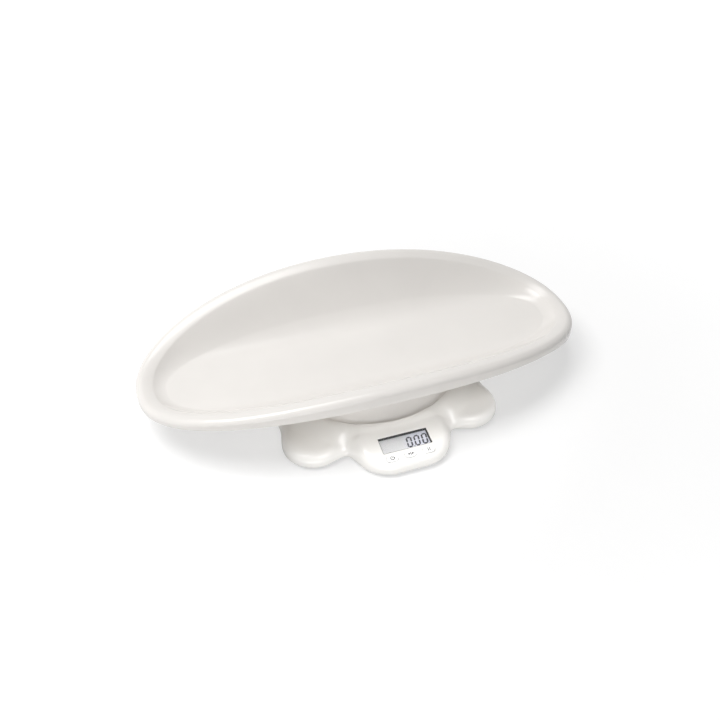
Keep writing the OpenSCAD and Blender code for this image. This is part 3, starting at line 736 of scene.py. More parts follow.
def tray_strips(surface):
    """Pairs of (stations, rule) for the whole section."""
    size = surface.size
    wall, lip, crest, roll = size["Wall"], size["Lip"], size["Crest inset"], size["Roll drop"]
    lip_start = surface.flange - lip / 2

    def inner_roll(t):
        sine, cosine = quarter(t)
        return surface.band(crest - (crest - lip) * sine, roll - (roll - wall) * cosine)

    def outer_roll(t):
        sine, cosine = quarter(1 - t)
        return surface.band(crest - crest * sine, roll - roll * cosine)

    def lip_round(t):
        sine, cosine = quarter(t * 2)
        return surface.band(lip / 2 + lip / 2 * cosine, lip_start + lip / 2 * sine)

    under_heel = between(surface.floor(1.0, wall), surface.wall(0.0, wall), 0.5)
    under_shoulder = surface.band(size["Rim band"] - lip, wall + size["Band step"] / 2)
    return [
        (8, lambda t: surface.floor(HEEL_IN * t, wall)),
        (8, lambda t: bend(
            surface.floor(HEEL_IN, wall), under_heel, surface.wall(HEEL_OUT, wall), t
        )),
        (10, lambda t: surface.wall(mixed(HEEL_OUT, UNDER_SHOULDER, t), wall)),
        (8, lambda t: bend(
            surface.wall(UNDER_SHOULDER, wall), under_shoulder, surface.band(crest, wall), t
        )),
        (8, inner_roll),
        (2, lambda t: surface.band(lip, mixed(roll, lip_start, t))),
        (8, lip_round),
        (2, lambda t: surface.band(0.0, mixed(lip_start, roll, t))),
        (16, outer_roll),
        (10, lambda t: band_curve(surface, t * SHOULDER_HIGH)),
        (24, lambda t: bend(
            band_curve(surface, SHOULDER_HIGH),
            surface.band(size["Rim band"], size["Band step"]),
            surface.wall(SHOULDER_LOW),
            t,
        )),
        (24, lambda t: surface.wall(mixed(SHOULDER_LOW, HEEL_OUT, t))),
        (16, lambda t: bend(surface.wall(HEEL_OUT), surface.floor(1.0), surface.floor(HEEL_IN), t)),
        (18, lambda t: surface.floor(HEEL_IN - t * HEEL_IN)),
    ]


print("strips ready")

# %% [markdown]
# ## Grow the tray
#
# The rules and the strips now meet in one recipe. An equal angle is not an equal step on an oval,
# but the steps are small everywhere, so the mesh needs no more care than this.

# %% The tray's recipe


def tray_recipe():
    tree, entry = new_recipe("tray_recipe", tray_sizes)
    angle, share = grid_place(tree)
    surface = TraySurface(tree, entry, angle)
    strips = [
        (stations, lambda t, rule=rule: surface.placed(rule(t)))
        for stations, rule in tray_strips(surface)
    ]
    end_recipe(tree, entry, skin_of(tree, entry, strips, share, SEAM))
    return tree


tray_bowl = grow("tray_bowl", tray_recipe(), tray_sizes)
print("bowl:", len(tray_bowl.data.vertices), "points")

# %% [markdown]
# ## The foot under the tray
#
# The bowl stands on a round wall moulded under it, with four lugs for rubber pads. A hollow flare
# and a lip at its lower end fill the recess of the base, so no dirt collects there. The upper edge
# has to follow the bowl: a ray is sent up from each point until it meets the bowl, and the wall
# ends a little inside it. A fixed height would leave gaps or poke through.

# %% Tray foot
FOOT_LIP_RADIUS, FOOT_LIP_LOW, FOOT_LIP_HIGH = 116.7 * MM, 22.9 * MM, 26.7 * MM
FOOT_FILLET, FOOT_WALL, FOOT_SINK = 3.6 * MM, 3 * MM, 1.4 * MM
FOOT_RADIUS, FOOT_FLARE_TOP = FOOT_LIP_RADIUS - FOOT_FILLET, FOOT_LIP_HIGH + FOOT_FILLET
FOOT_LEAN, FOOT_EDGE = 4 / 56.8, 0.3 * MM
FOOT_STEPS, LUG_STEPS = 256, 32
LUG_RADIUS, LUG_RING, LUG_BOTTOM = 7 * MM, 105 * MM, 24.5 * MM
foot_turns = [2 * math.pi * i / FOOT_STEPS for i in range(FOOT_STEPS)]

bowl_tree = BVHTree.FromPolygons(
    [v.co for v in tray_bowl.data.vertices], [tuple(p.vertices) for p in tray_bowl.data.polygons]
)


def bowl_height(x, y):
    """Where a foot's upper edge at x, y ends, a little inside the bowl."""
    hit = bowl_tree.ray_cast(Vector((x, y, 0)), Vector((0, 0, 1)))[0]
    return hit.z + FOOT_SINK


def foot_top(angle, radius):
    """A point on the foot's upper edge, where the leaning wall meets the bowl."""
    r = radius
    for _ in range(4):
        x, y = r * math.cos(angle), middle_y + r * math.sin(angle)
        z = bowl_height(x, y)
        r = radius - FOOT_LEAN * (z - FOOT_FLARE_TOP)
    return x, y, z


def foot_ring(radius, height):
    return [(radius * math.cos(a), middle_y + radius * math.sin(a), height) for a in foot_turns]


def tube_faces(ring_count, size):
    """Quads between rings of equal size, with the last ring joined to the first."""
    faces = []
    for ring in range(ring_count):
        here, there = ring * size, (ring + 1) % ring_count * size
        for i in range(size):
            j = (i + 1) % size
            faces.append((here + i, here + j, there + j, there + i))
    return faces


def foot_section():
    """Radius and height down the inside, round the lip and up its hollow flare."""
    inside, lip_inside = FOOT_RADIUS - FOOT_WALL, FOOT_LIP_RADIUS - FOOT_WALL
    section = [
        (inside, FOOT_FLARE_TOP - FOOT_EDGE * 5), (lip_inside, FOOT_LIP_HIGH - FOOT_EDGE * 3),
        (lip_inside, FOOT_LIP_LOW + FOOT_EDGE), (lip_inside + FOOT_EDGE, FOOT_LIP_LOW),
        (FOOT_LIP_RADIUS - FOOT_EDGE, FOOT_LIP_LOW), (FOOT_LIP_RADIUS, FOOT_LIP_LOW + FOOT_EDGE),
    ]
    for step in range(11):
        turn = QUARTER * step / 10
        section.append((
            FOOT_LIP_RADIUS - FOOT_FILLET * math.sin(turn),
            FOOT_FLARE_TOP - FOOT_FILLET * math.cos(turn),
        ))
    return section


def foot_wall():
    rings = [[foot_top(a, FOOT_RADIUS - FOOT_WALL) for a in foot_turns]]
    rings += [foot_ring(*station) for station in foot_section()]
    rings.append([foot_top(a, FOOT_RADIUS) for a in foot_turns])
    points = [p for ring in rings for p in ring]
    return piece_from("foot_wall", points, tube_faces(len(rings), FOOT_STEPS), tray_plastic)


def foot_lug(angle):
    centre = (LUG_RING * math.cos(angle), middle_y + LUG_RING * math.sin(angle))
    edge = circle(LUG_RADIUS, LUG_STEPS, centre)
    low = [(x, y, LUG_BOTTOM) for x, y in edge]
    high = [(x, y, bowl_height(x, y)) for x, y in edge]
    return loft("foot_lug", [low, high], tray_plastic)


LUG_TURNS = [math.radians(45 + 90 * i) for i in range(4)]
lugs = [foot_lug(turn) for turn in LUG_TURNS]
tray_foot = joined("tray_foot", [foot_wall(), *lugs])
keep(tray_bowl, "tray", "tray_plastic", "tray")
keep(tray_foot, "tray", "tray_plastic")

# %% [markdown]
# ## The outline of the base
#
# Seen from above, the base is a paw: four round petals over the feet, a lobe at the front for the
# display, and a waist that joins them. It is easiest to say how far a point is from such an
# outline. Each simple shape has its own distance, and a smooth minimum melts them together, as
# clay does.

# %% Distance to the outline, for arrays of points
axis_y = middle_y
PETAL_X, PETAL_Y, PETAL_RADIUS = 94.5 * MM, 102 * MM, 36.5 * MM
LOBE_REACH, LOBE_BACK = 174.5 * MM, 90 * MM
LOBE_HALF_WIDTH, LOBE_CORNER = 57.5 * MM, 40 * MM
WAIST_FRONT, WAIST_BACK = 108 * MM, 124 * MM
WAIST_HALF_WIDTH, WAIST_CORNER = 128 * MM, 60 * MM
VALLEY_BLEND, SIDE_BLEND = 29 * MM, 20 * MM
OUTLINE_TRIM = 0.22 * MM


def melt(first, second, width):
    """The smaller of two distances, with a smooth joint of the given width."""
    near = np.maximum(width - np.abs(first - second), 0) / width
    return np.minimum(first, second) - near * near * width / 4


def box_distance(x, y, low, high, half_width, corner):
    """Distance to a rectangle with round corners, negative inside."""
    dx = np.abs(x) - (half_width - corner)
    dy = np.abs(y - (low + high) / 2) - ((high - low) / 2 - corner)
    outside = np.hypot(np.maximum(dx, 0), np.maximum(dy, 0))
    return outside + np.minimum(np.maximum(dx, dy), 0) - corner


def outline_distance(x, y):
    """Distance to the paw, negative inside; x and y start at the axis of the tray's foot."""
    front_petal = np.hypot(np.abs(x) - PETAL_X, y + PETAL_Y) - PETAL_RADIUS
    back_petal = np.hypot(np.abs(x) - PETAL_X, y - PETAL_Y) - PETAL_RADIUS
    lobe = box_distance(x, y, -LOBE_REACH, -LOBE_BACK, LOBE_HALF_WIDTH, LOBE_CORNER)
    waist = box_distance(x, y, -WAIST_FRONT, WAIST_BACK, WAIST_HALF_WIDTH, WAIST_CORNER)
    front, back = melt(front_petal, lobe, VALLEY_BLEND), melt(back_petal, waist, SIDE_BLEND)
    return melt(front, back, SIDE_BLEND) + OUTLINE_TRIM


BASE_RAYS = 480
ray_turn = np.linspace(0, 2 * np.pi, BASE_RAYS, endpoint=False)
ray_x, ray_y = np.cos(ray_turn), np.sin(ray_turn)


def outline_radius(inset):
    """How far along each ray the outline lies, moved in by inset, found by halving."""
    low, high = np.full(BASE_RAYS, 60 * MM), np.full(BASE_RAYS, 220 * MM)
    for _ in range(30):
        middle = (low + high) / 2
        outside = outline_distance(middle * ray_x, middle * ray_y) > -inset
        high = np.where(outside, middle, high)
        low = np.where(outside, low, middle)
    return (low + high) / 2


reach = outline_radius(0)
print("outline lies", [round(float(r) / MM, 1) for r in (reach.min(), reach.max())], "mm out")

# %% [markdown]
# ## Heights of the base
#
# The top of the base is a landscape over that outline. A ridge runs round the recess in which the
# tray's foot stands, and falls away to the petals. In front it gives way to a flat deck that slopes
# towards the user. The edge rolls down to the side wall like a pillow. A smooth step between two
# heights keeps every change soft, and the outline's distance drives the rolled edge.

# %% Heights of the base
RIDGE_Z, PETAL_Z, PLATFORM_Z = 27 * MM, 18 * MM, 22.5 * MM
RECESS_RADIUS, RIDGE_OUT = 117 * MM, 146 * MM
RECESS_IN, RIDGE_IN = RECESS_RADIUS - 0.3 * MM, RECESS_RADIUS + 4 * MM
RECESS_EDGE, RECESS_DRAFT = 0.25 * MM, 0.05 * MM
RECESS_HEEL = ((0, 0), (0.2 * MM, 0.1 * MM), (0.3 * MM, 0.4 * MM))
DECK_Y, DECK_Z, DECK_TILT = 145.5 * MM, 21.5 * MM, math.radians(8.1)
DECK_HALF_WIDTH, DECK_SIDE = 46 * MM, 18 * MM
EDGE_Z, EDGE_ROUND, EDGE_POWER, EDGE_TUCK = 6 * MM, 13 * MM, 2.4, 0.8 * MM
BASE_GAP, SHELL_WALL, BOTTOM_EDGE = 3 * MM, 2.6 * MM, 0.5 * MM
RIDGE_MARGIN, DECK_START = 2 * MM, 10 * MM


def smooth_step(share):
    share = np.clip(share, 0, 1)
    return share * share * (3 - 2 * share)


def crown(x, y):
    """Height of the top before its edge is rounded: ridge, petals and display deck."""
    flank_start = RECESS_RADIUS + RIDGE_MARGIN
    flank = smooth_step((np.hypot(x, y) - flank_start) / (RIDGE_OUT - flank_start))
    ridge = RIDGE_Z + (PETAL_Z - RIDGE_Z) * flank
    deck = DECK_Z + (y + DECK_Y) * math.tan(DECK_TILT)
    across = 1 - smooth_step((np.abs(x) - DECK_HALF_WIDTH) / DECK_SIDE)
    along = smooth_step((-y - RECESS_RADIUS) / DECK_START)
    return ridge + (deck - ridge) * across * along


def shell_height(x, y, inset):
    """Height of the shell's face, whose own edge lies inset within the outline."""
    inside = np.clip((-outline_distance(x, y) - inset) / EDGE_ROUND, 0, 1)
    rise = (1 - (1 - inside) ** EDGE_POWER) ** (1 / EDGE_POWER)
    return EDGE_Z + (crown(x, y) - inset - EDGE_Z) * rise


def ray_ring(radius, height):
    """A ring of points, one on each ray; radius and height may vary round the ring."""
    x, y = radius * ray_x, radius * ray_y
    z = height(x, y) if callable(height) else np.full(BASE_RAYS, height)
    return np.stack([x, y + axis_y, z], axis=1)


def shell_rings(parts, inset):
    """Rings of the shell from the ridge out to the edge, at shares of the way."""
    edge = outline_radius(inset)
    return [
        ray_ring(RIDGE_IN + (edge - RIDGE_IN) * part, lambda x, y: shell_height(x, y, inset))
        for part in parts
    ]


def recess_rings():
    """Rings that climb the steep wall of the recess and round its upper edge."""
    rings = [ray_ring(RECESS_IN + out, PLATFORM_Z + up) for out, up in RECESS_HEEL]
    wall = RECESS_RADIUS + RECESS_DRAFT
    for turn in np.linspace(0, QUARTER, 6):
        drop = RECESS_EDGE * (1 - math.sin(turn))
        radius = wall + RECESS_EDGE * (1 - math.cos(turn))
        rings.append(ray_ring(radius, lambda x, y: shell_height(x, y, 0) - drop))
    top = wall + RECESS_EDGE
    for share in (0.3, 0.65):
        rings.append(ray_ring(top + (RIDGE_IN - top) * share, lambda x, y: shell_height(x, y, 0)))
    return rings


print("ridge", RIDGE_Z / MM, "mm, petals", PETAL_Z / MM, "mm high")

# %% [markdown]
# ## The base's top shell
#
# The shell is a mesh of rings, from the middle of the platform, over the ridge and the edge, and
# back along the inside. Rings are packed closer towards the edge, where the surface turns fastest.
# A subdivision surface could give the same softness, but here the rule is known exactly.

# %% Rings of the top shell
OUTER_PARTS = 1 - (1 - np.linspace(0, 1, 46)) ** 2.0
INNER_PARTS = OUTER_PARTS[::-3]


def top_shell_rings():
    under = PLATFORM_Z - SHELL_WALL
    edge, edge_in = outline_radius(EDGE_TUCK), outline_radius(SHELL_WALL)
    wall_heights = np.linspace(EDGE_Z, BASE_GAP + BOTTOM_EDGE, 5)[1:]
    rings = [ray_ring(RECESS_IN * share, PLATFORM_Z) for share in (0.25, 0.5, 0.75, 0.92)]
    rings += recess_rings()
    rings += shell_rings(OUTER_PARTS, 0)
    for z in wall_heights:
        tuck = EDGE_TUCK * ((EDGE_Z - z) / (EDGE_Z - BASE_GAP)) ** 2
        rings.append(ray_ring(outline_radius(tuck), z))
    soft = BOTTOM_EDGE * 0.3
    rings += [ray_ring(edge - soft, BASE_GAP + soft), ray_ring(edge - BOTTOM_EDGE, BASE_GAP)]
    rings.append(ray_ring(edge_in, BASE_GAP))
    rings += shell_rings(INNER_PARTS, SHELL_WALL)
    rings += [ray_ring(RECESS_RADIUS * share, under) for share in (1, 0.6, 0.25)]
    return rings[::-1]


base_shell = loft("base_shell", top_shell_rings(), base_plastic)
print("shell:", len(base_shell.data.vertices), "points")

# %% [markdown]
# ## Openings in the deck
#
# The window and the three key holes are cut by a Boolean, with a small chamfer that catches the
# light as the moulded edge does. Each cutter is a solid whose outline grows at the top. The deck
# has a frame of its own, a matrix that stands on its surface and slopes with it, so that all the
# pieces of the display are drawn level and then carried there together.

# %% The deck's own frame and its cutters
deck = Matrix.Translation((0, axis_y - DECK_Y, DECK_Z)) @ Matrix.Rotation(DECK_TILT, 4, "X")
WINDOW_WIDTH, WINDOW_DEPTH, WINDOW_CORNER = 58 * MM, 21 * MM, 0.6 * MM
KEY_LENGTH, KEY_WIDTH, KEY_PITCH, KEY_Y = 14 * MM, 8 * MM, 21.5 * MM, -18.4 * MM
KEY_GAP = 0.3 * MM
KEY_PLACES = {"on_off": -KEY_PITCH, "tare": 0.0, "hold": KEY_PITCH}
CHAMFER = 0.35 * MM
CUT_BELOW, CUT_ABOVE, CUT_PAST = 6 * MM, 3 * MM, 0.05 * MM


def on_deck(points, z, shift=(0, 0)):
    """Carries flat points to a height over the deck."""
    return [deck @ Vector((x + shift[0], y + shift[1], z)) for x, y in points]


def grown_rect(width, depth, corner, grow):
    return round_rect(width + 2 * grow, depth + 2 * grow, corner + grow)


def cutter(width, depth, corner, shift):
    """A solid that cuts a hole through the deck and breaks its upper edge."""
    top = CHAMFER + CUT_PAST
    levels = ((-CUT_BELOW, 0), (-CHAMFER, 0), (CUT_PAST, top), (CUT_ABOVE, top))
    rings = [on_deck(grown_rect(width, depth, corner, grow), z, shift) for z, grow in levels]
    return loft("cutter", rings, base_plastic)


def cut(piece, tool):
    """Takes the tool's solid out of a piece, and removes the tool."""
    modifier = piece.modifiers.new("cut", "BOOLEAN")
    modifier.operation = "DIFFERENCE"
    modifier.solver = "EXACT"
    modifier.object = tool
    evaluated = piece.evaluated_get(bpy.context.evaluated_depsgraph_get())
    mesh = bpy.data.meshes.new_from_object(evaluated)
    piece.modifiers.remove(modifier)
    mesh.set_sharp_from_angle(angle=CRISP_ANGLE)
    piece.data = mesh
    bpy.data.objects.remove(tool)


cut(base_shell, cutter(WINDOW_WIDTH, WINDOW_DEPTH, WINDOW_CORNER, (0, 0)))
for key_x in KEY_PLACES.values():
    hole_length, hole_width = KEY_LENGTH + 2 * KEY_GAP, KEY_WIDTH + 2 * KEY_GAP
    cut(base_shell, cutter(hole_length, hole_width, hole_width / 2 - 0.01 * MM, (key_x, KEY_Y)))
keep(base_shell, "base", "base_plastic", "top_shell")

# %% [markdown]
# ## Keys
#
# A key is a pill with a soft upper edge and a slightly crowned top, moulded in white. Its edge is
# a quarter circle in a few steps, and rings that shrink towards the middle raise the crown. Below
# the deck it has a flange that stops it from falling out, and a stem that meets its switch.

# %% Key caps
KEY_RISE, KEY_EDGE, KEY_CROWN = 0.9 * MM, 0.7 * MM, 0.25 * MM
FLANGE_TOP, FLANGE_BOTTOM = -3.0 * MM, -4.1 * MM
FLANGE_EXTRA_LENGTH, FLANGE_EXTRA_WIDTH = 1.8 * MM, 1.2 * MM
STEM_RADIUS, STEM_BOTTOM, STEM_SINK = 1.6 * MM, -4.6 * MM, 0.2 * MM
KEY_MIDDLE = 0.2 * MM


def pill(length, width, inset=0.0, steps=14):
    """The outline of a bar with round ends, drawn in by inset."""
    radius = width / 2 - inset
    points = []
    for side, start in ((1, -90), (-1, 90)):
        for step in range(steps + 1):
            angle = math.radians(start + 180 * step / steps)
            points.append((
                side * (length - width) / 2 + radius * math.cos(angle),
                radius * math.sin(angle),
            ))
    return points


def key_crown(share):
    """Height of the top face at a share of the way from the edge to the middle."""
    return KEY_RISE - KEY_CROWN * (1 - share) ** 2


def key_cap(name, x):
    """A closed key: flange, straight side, rounded edge and crowned top."""
    place = (x, KEY_Y)
    flange = pill(KEY_LENGTH + FLANGE_EXTRA_LENGTH, KEY_WIDTH + FLANGE_EXTRA_WIDTH)
    side = pill(KEY_LENGTH, KEY_WIDTH)
    edge_top = key_crown(0) - KEY_EDGE
    rings = [on_deck(flange, FLANGE_BOTTOM, place), on_deck(flange, FLANGE_TOP, place)]
    rings += [on_deck(side, FLANGE_TOP, place), on_deck(side, edge_top, place)]
    for step in range(1, 7):
        turn = QUARTER * step / 6
        edge = pill(KEY_LENGTH, KEY_WIDTH, KEY_EDGE * (1 - math.cos(turn)))
        rings.append(on_deck(edge, edge_top + KEY_EDGE * math.sin(turn), place))
    for step in range(1, 6):
        inset = KEY_EDGE + (KEY_WIDTH / 2 - KEY_EDGE - KEY_MIDDLE) * step / 5
        rings.append(on_deck(pill(KEY_LENGTH, KEY_WIDTH, inset), key_crown(step / 5), place))
    stem = circle(STEM_RADIUS, 24)
    stem_rings = [on_deck(stem, z, place) for z in (STEM_BOTTOM, FLANGE_BOTTOM + STEM_SINK)]
    cap, stem = loft(name, rings, key_plastic), loft(name + "_stem", stem_rings, key_plastic)
    return joined(name, [cap, stem])


for key_name, key_x in KEY_PLACES.items():
    keep(key_cap(key_name + "_key_cap", key_x), key_name + "_key", "key_plastic", key_name + "_key")

# %% [markdown]
# ## Signs on the keys
#
# Keys of this kind carry small printed signs. These are plain ones: a bar in an open ring for on
# and off, arrows that push to a bar for setting to nought, and two bars for holding a weight. Each
# is a set of thin strokes laid on the key's crown, as pad printing is, and it moves with its key.

# %% Key signs
INK_THICKNESS = 0.04 * MM
STROKE = 0.8 * MM


def stroke_outline(points, width):
    """The outline of a line of even width through points, as left side and right side."""
    left, right = [], []
    for i, point in enumerate(points):
        before, after = points[max(i - 1, 0)], points[min(i + 1, len(points) - 1)]
        along = (Vector(after) - Vector(before)).normalized()
        across = Vector((-along.y, along.x)) * width / 2
        left.append(tuple(Vector(point) + across))
        right.append(tuple(Vector(point) - across))
    return left, right


def stroke(points, width, place, height):
    """A thin solid along a line, laid on a surface whose height is a function of x and y."""
    left, right = stroke_outline(points, width)
    count = len(points)
    flat = left + right
    low = [on_deck([p], height(*p) - INK_THICKNESS, place)[0] for p in flat]
    high = [on_deck([p], height(*p) + INK_THICKNESS, place)[0] for p in flat]
    faces = []
    for i in range(count - 1):
        a, b, c, d = i, i + 1, count + i + 1, count + i
        faces += [(a, b, c, d), tuple(2 * count + v for v in (d, c, b, a))]
        faces += [(b, a, 2 * count + a, 2 * count + b), (d, c, 2 * count + c, 2 * count + d)]
    last = count - 1
    faces.append((0, count, 3 * count, 2 * count))
    faces.append((count + last, last, 2 * count + last, 3 * count + last))
    return piece_from("stroke", low + high, faces, sign_ink)


def on_cap(x, y):
    """Height of a key's crown at a point measured from the key's middle."""
    beyond = max(abs(x) - (KEY_LENGTH - KEY_WIDTH) / 2, 0)
    crown_width = KEY_WIDTH / 2 - KEY_EDGE
    share = (crown_width - math.hypot(beyond, y)) / (crown_width - KEY_MIDDLE)
    return key_crown(min(max(share, 0), 1))


def line(x0, y0, x1, y1, steps=6):
    """Points along a straight line, in millimetres on the key."""
    return [
        ((x0 + (x1 - x0) * i / steps) * MM, (y0 + (y1 - y0) * i / steps) * MM)
        for i in range(steps + 1)
    ]


def arc(radius, start, end, steps=28):
    """Points along an arc about the key's middle, in millimetres and degrees."""
    turns = [math.radians(start + (end - start) * i / steps) for i in range(steps + 1)]
    return [(radius * MM * math.cos(a), radius * MM * math.sin(a)) for a in turns]


SIGNS = {
    "on_off": [arc(2.1, 130, 410), line(0, 0.4, 0, 2.9)],
    "tare": [
        line(0, -1.9, 0, 1.9),
        line(-4.0, 0, -1.2, 0), line(-2.4, 1.1, -1.2, 0), line(-2.4, -1.1, -1.2, 0),
        line(4.0, 0, 1.2, 0), line(2.4, 1.1, 1.2, 0), line(2.4, -1.1, 1.2, 0),
    ],
    "hold": [line(-1.0, -2.1, -1.0, 2.1), line(1.0, -2.1, 1.0, 2.1)],
}
for key_name, lines in SIGNS.items():
    sign_place = (KEY_PLACES[key_name], KEY_Y)
    strokes = [stroke(points, STROKE, sign_place, on_cap) for points in lines]
    keep(joined(key_name + "_sign", strokes), key_name + "_key", "black_plastic")

# %% [markdown]
# ## The window's dark liner
#
# Light that enters the white shell from the side would wash out the display, so the cell sits at
# the bottom of a black well. Only the thin liner of the well is seen, at the far side and the
# right. It is drawn as a tube of four walls, a little inside the opening.

# %% Liner of the window
LINER_TOP, LINER_LOW, LINER_WALL = -0.35 * MM, -4.2 * MM, 0.3 * MM


def liner():
    wide = round_rect(WINDOW_WIDTH - 0.1 * MM, WINDOW_DEPTH - 0.1 * MM, WINDOW_CORNER, 6)
    wall = 2 * LINER_WALL
    inner = round_rect(WINDOW_WIDTH - wall, WINDOW_DEPTH - wall, WINDOW_CORNER / 2, 6)
    rings = [
        on_deck(inner, LINER_TOP), on_deck(inner, LINER_LOW),
        on_deck(wide, LINER_LOW), on_deck(wide, LINER_TOP),
    ]
    points = [p for ring in rings for p in ring]
    return piece_from("window_liner", points, tube_faces(len(rings), len(inner)), frame_plastic)


keep(liner(), "base", "black_plastic")

# %% [markdown]
# ## Digits on the display
#
# A liquid crystal shows a number with seven bars for each digit. The bars have pointed ends so
# that neighbours can lie close, and the whole digit leans a little. A nought lights six of the
# seven, so its middle bar is missing. The bars are thin plates on the cell, as the dark film of
# the crystal is.

# %% Seven-segment digits
GLASS_TOP = -4.3 * MM
DIGIT_WIDTH, DIGIT_HEIGHT, DIGIT_PITCH = 6.9 * MM, 14.2 * MM, 9.1 * MM
DIGIT_Y, LAST_DIGIT_X = -0.5 * MM, 23.8 * MM
BAR, BAR_GAP, LEAN = 1.9 * MM, 0.12 * MM, math.tan(math.radians(6))
FILM, POINT_RADIUS = 0.05 * MM, 0.6 * MM
POINTER = ((-1.2, -0.7), (1.3, -0.7), (1.3, 0.7))


def bar_outline(start, end):
    """A bar with pointed ends between two corners of the digit."""
    a, b = Vector(start), Vector(end)
    along = (b - a).normalized()
    across = Vector((-along.y, along.x)) * BAR / 2
    a, b = a + along * BAR_GAP, b - along * BAR_GAP
    inner_a, inner_b = a + along * BAR / 2, b - along * BAR / 2
    return [a, inner_a - across, inner_b - across, b, inner_b + across, inner_a + across]


def nought(x):
    """The six lit bars of a nought, as outlines that lean."""
    w, h = (DIGIT_WIDTH - BAR) / 2, (DIGIT_HEIGHT - BAR) / 2
    corners = [(-w, -h), (w, -h), (w, 0), (w, h), (-w, h), (-w, 0)]
    bars = []
    for i, start in enumerate(corners):
        outline = bar_outline(start, corners[(i + 1) % len(corners)])
        bars.append([(x + p.x + LEAN * p.y, DIGIT_Y + p.y) for p in outline])
    return bars


def film(outline):
    """A thin plate on the cell's face."""
    rings = [on_deck(outline, z) for z in (GLASS_TOP, GLASS_TOP + FILM)]
    return loft("film", rings, digit_ink)


digit_places = [LAST_DIGIT_X - DIGIT_PITCH * i for i in (2, 1, 0)]
display_marks = [bar for x in digit_places for bar in nought(x)]
point = (digit_places[0] + DIGIT_PITCH / 2 - 0.4 * MM, DIGIT_Y - DIGIT_HEIGHT / 2 + BAR / 2)
display_marks.append(circle(POINT_RADIUS, 12, point))
pointer_x, pointer_y = -20.9 * MM, -7.9 * MM
display_marks.append([(pointer_x + x * MM, pointer_y + y * MM) for x, y in POINTER])
digits = joined("display_digits", [film(outline) for outline in display_marks])
keep(digits, "base", "black_plastic")

# %% [markdown]
# ## Turned pieces
#
# Screws, rubber pads and battery cells are all bodies of revolution, and they come in sets. One
# helper builds the geometry tree for any of them: strips turned round an axis by a profile of
# radius and height, and a copy at each of the places. A lathe or a Screw modifier would turn one
# piece as well, but the tree also sets it out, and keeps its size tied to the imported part.

# %% The recipe for turned pieces


def turned_recipe(name, sizes, profile):
    """A recipe for copies of one turned piece; profile gives its strips from bottom to top."""
    tree, entry = new_recipe(name, sizes, seeded=True)
    angle, share = grid_place(tree)
    size = {
        label: Field(tree, entry.outputs[label])
        for label, (kind, _) in sizes.items() if kind == LENGTH
    }

    def turned(rule):
        def place(t):
            radius, height = rule(t)
            return radius * angle.math("COSINE"), radius * angle.math("SINE"), height

        return place

    strips = [(stations, turned(rule)) for stations, rule in profile(size, angle)]
    copies = add_node(
        tree, "GeometryNodeInstanceOnPoints", Points=entry.outputs["Places"],
        Instance=skin_of(tree, entry, strips, share, SEAM / 4), Rotation=entry.outputs["Turn"],
    )
    end_recipe(tree, entry, copies.outputs["Instances"])
    return tree


def clamped(value):
    return value.math("MAXIMUM", 0.0).math("MINIMUM", 1.0)


def straight(*ends):
    """The rule of a straight strip between two ends, each given as radius and height."""
    return lambda t: between(*ends, t)


def low_edge(radius, height, edge):
    """The rule of a strip that rounds a lower edge, from the face to the side."""

    def rule(t):
        sine, cosine = quarter(t)
        return radius - edge * (1 - sine), height + edge * (1 - cosine)

    return rule


def high_edge(radius, height, edge):
    """The rule of a strip that rounds an upper edge, from the side to the face."""

    def rule(t):
        sine, cosine = quarter(t)
        return radius - edge * (1 - cosine), height - edge * (1 - sine)

    return rule


print("turned pieces ready")

# %% [markdown]
# ## Screws
#
# The shell is held by eight pan-head screws from below, and the board by four smaller ones. Their
# thread is a helix: the radius swings with the height plus the angle round the axis. The cross in
# the head is a dent wherever a point lies close to one of two lines.

# %% Screws
THREAD_STEPS = 64
FACE_SHARE, FACE_BULGE, RIM_SHARE = 0.93, 0.28, 0.45


def screw_sizes(head, head_height, shank, length, turn):
    return {
        "Head": (LENGTH, head), "Head height": (LENGTH, head_height), "Shank": (LENGTH, shank),
        "Length": (LENGTH, length), "Pitch": (LENGTH, 0.72 * shank),
        "Thread": (LENGTH, 0.16 * shank),
        "Slot": (LENGTH, 0.13 * head), "Slot reach": (LENGTH, 0.62 * head),
        "Slot depth": (LENGTH, 0.55 * head_height),
        "Turn": (VECTOR, turn), "Around": (WHOLE, 57), "Material": (MATERIAL, screw_steel),
    }


def screw_profile(size, angle):
    head, high, shank, length = size["Head"], size["Head height"], size["Shank"], size["Length"]
    soft = size["Slot"] * 0.35

    def face(t):
        radius = head * FACE_SHARE * t
        x = (radius * angle.math("COSINE")).math("ABSOLUTE")
        y = (radius * angle.math("SINE")).math("ABSOLUTE")
        in_slot = clamped((size["Slot"] - x.math("MINIMUM", y)) / soft)
        dent = in_slot * clamped((size["Slot reach"] - radius) / soft)
        return radius, high * FACE_BULGE * t ** 3 + size["Slot depth"] * dent

    def rim(t):
        sine, cosine = quarter(t)
        radius = head * (FACE_SHARE + sine * (1 - FACE_SHARE))
        return radius, high * (RIM_SHARE - cosine * (RIM_SHARE - FACE_BULGE))

    def thread(t):
        height = high + length * t
        along = (height / size["Pitch"] + angle / (2 * math.pi)).math("FRACT")
        ridge = (along * 2 - 1).math("ABSOLUTE")
        fade = clamped(t * 12) * clamped((1 - t) * 8)
        return shank - size["Thread"] * ridge * fade - shank * 0.3 * clamped((t - 0.9) * 10), height

    return [
        (22, face), (5, rim), (2, straight((head, high * RIM_SHARE), (head, high))),
        (3, straight((head, high), (shank, high))), (THREAD_STEPS, thread),
        (3, straight((shank * 0.7, high + length), (shank * 0.0, high + length))),
    ]


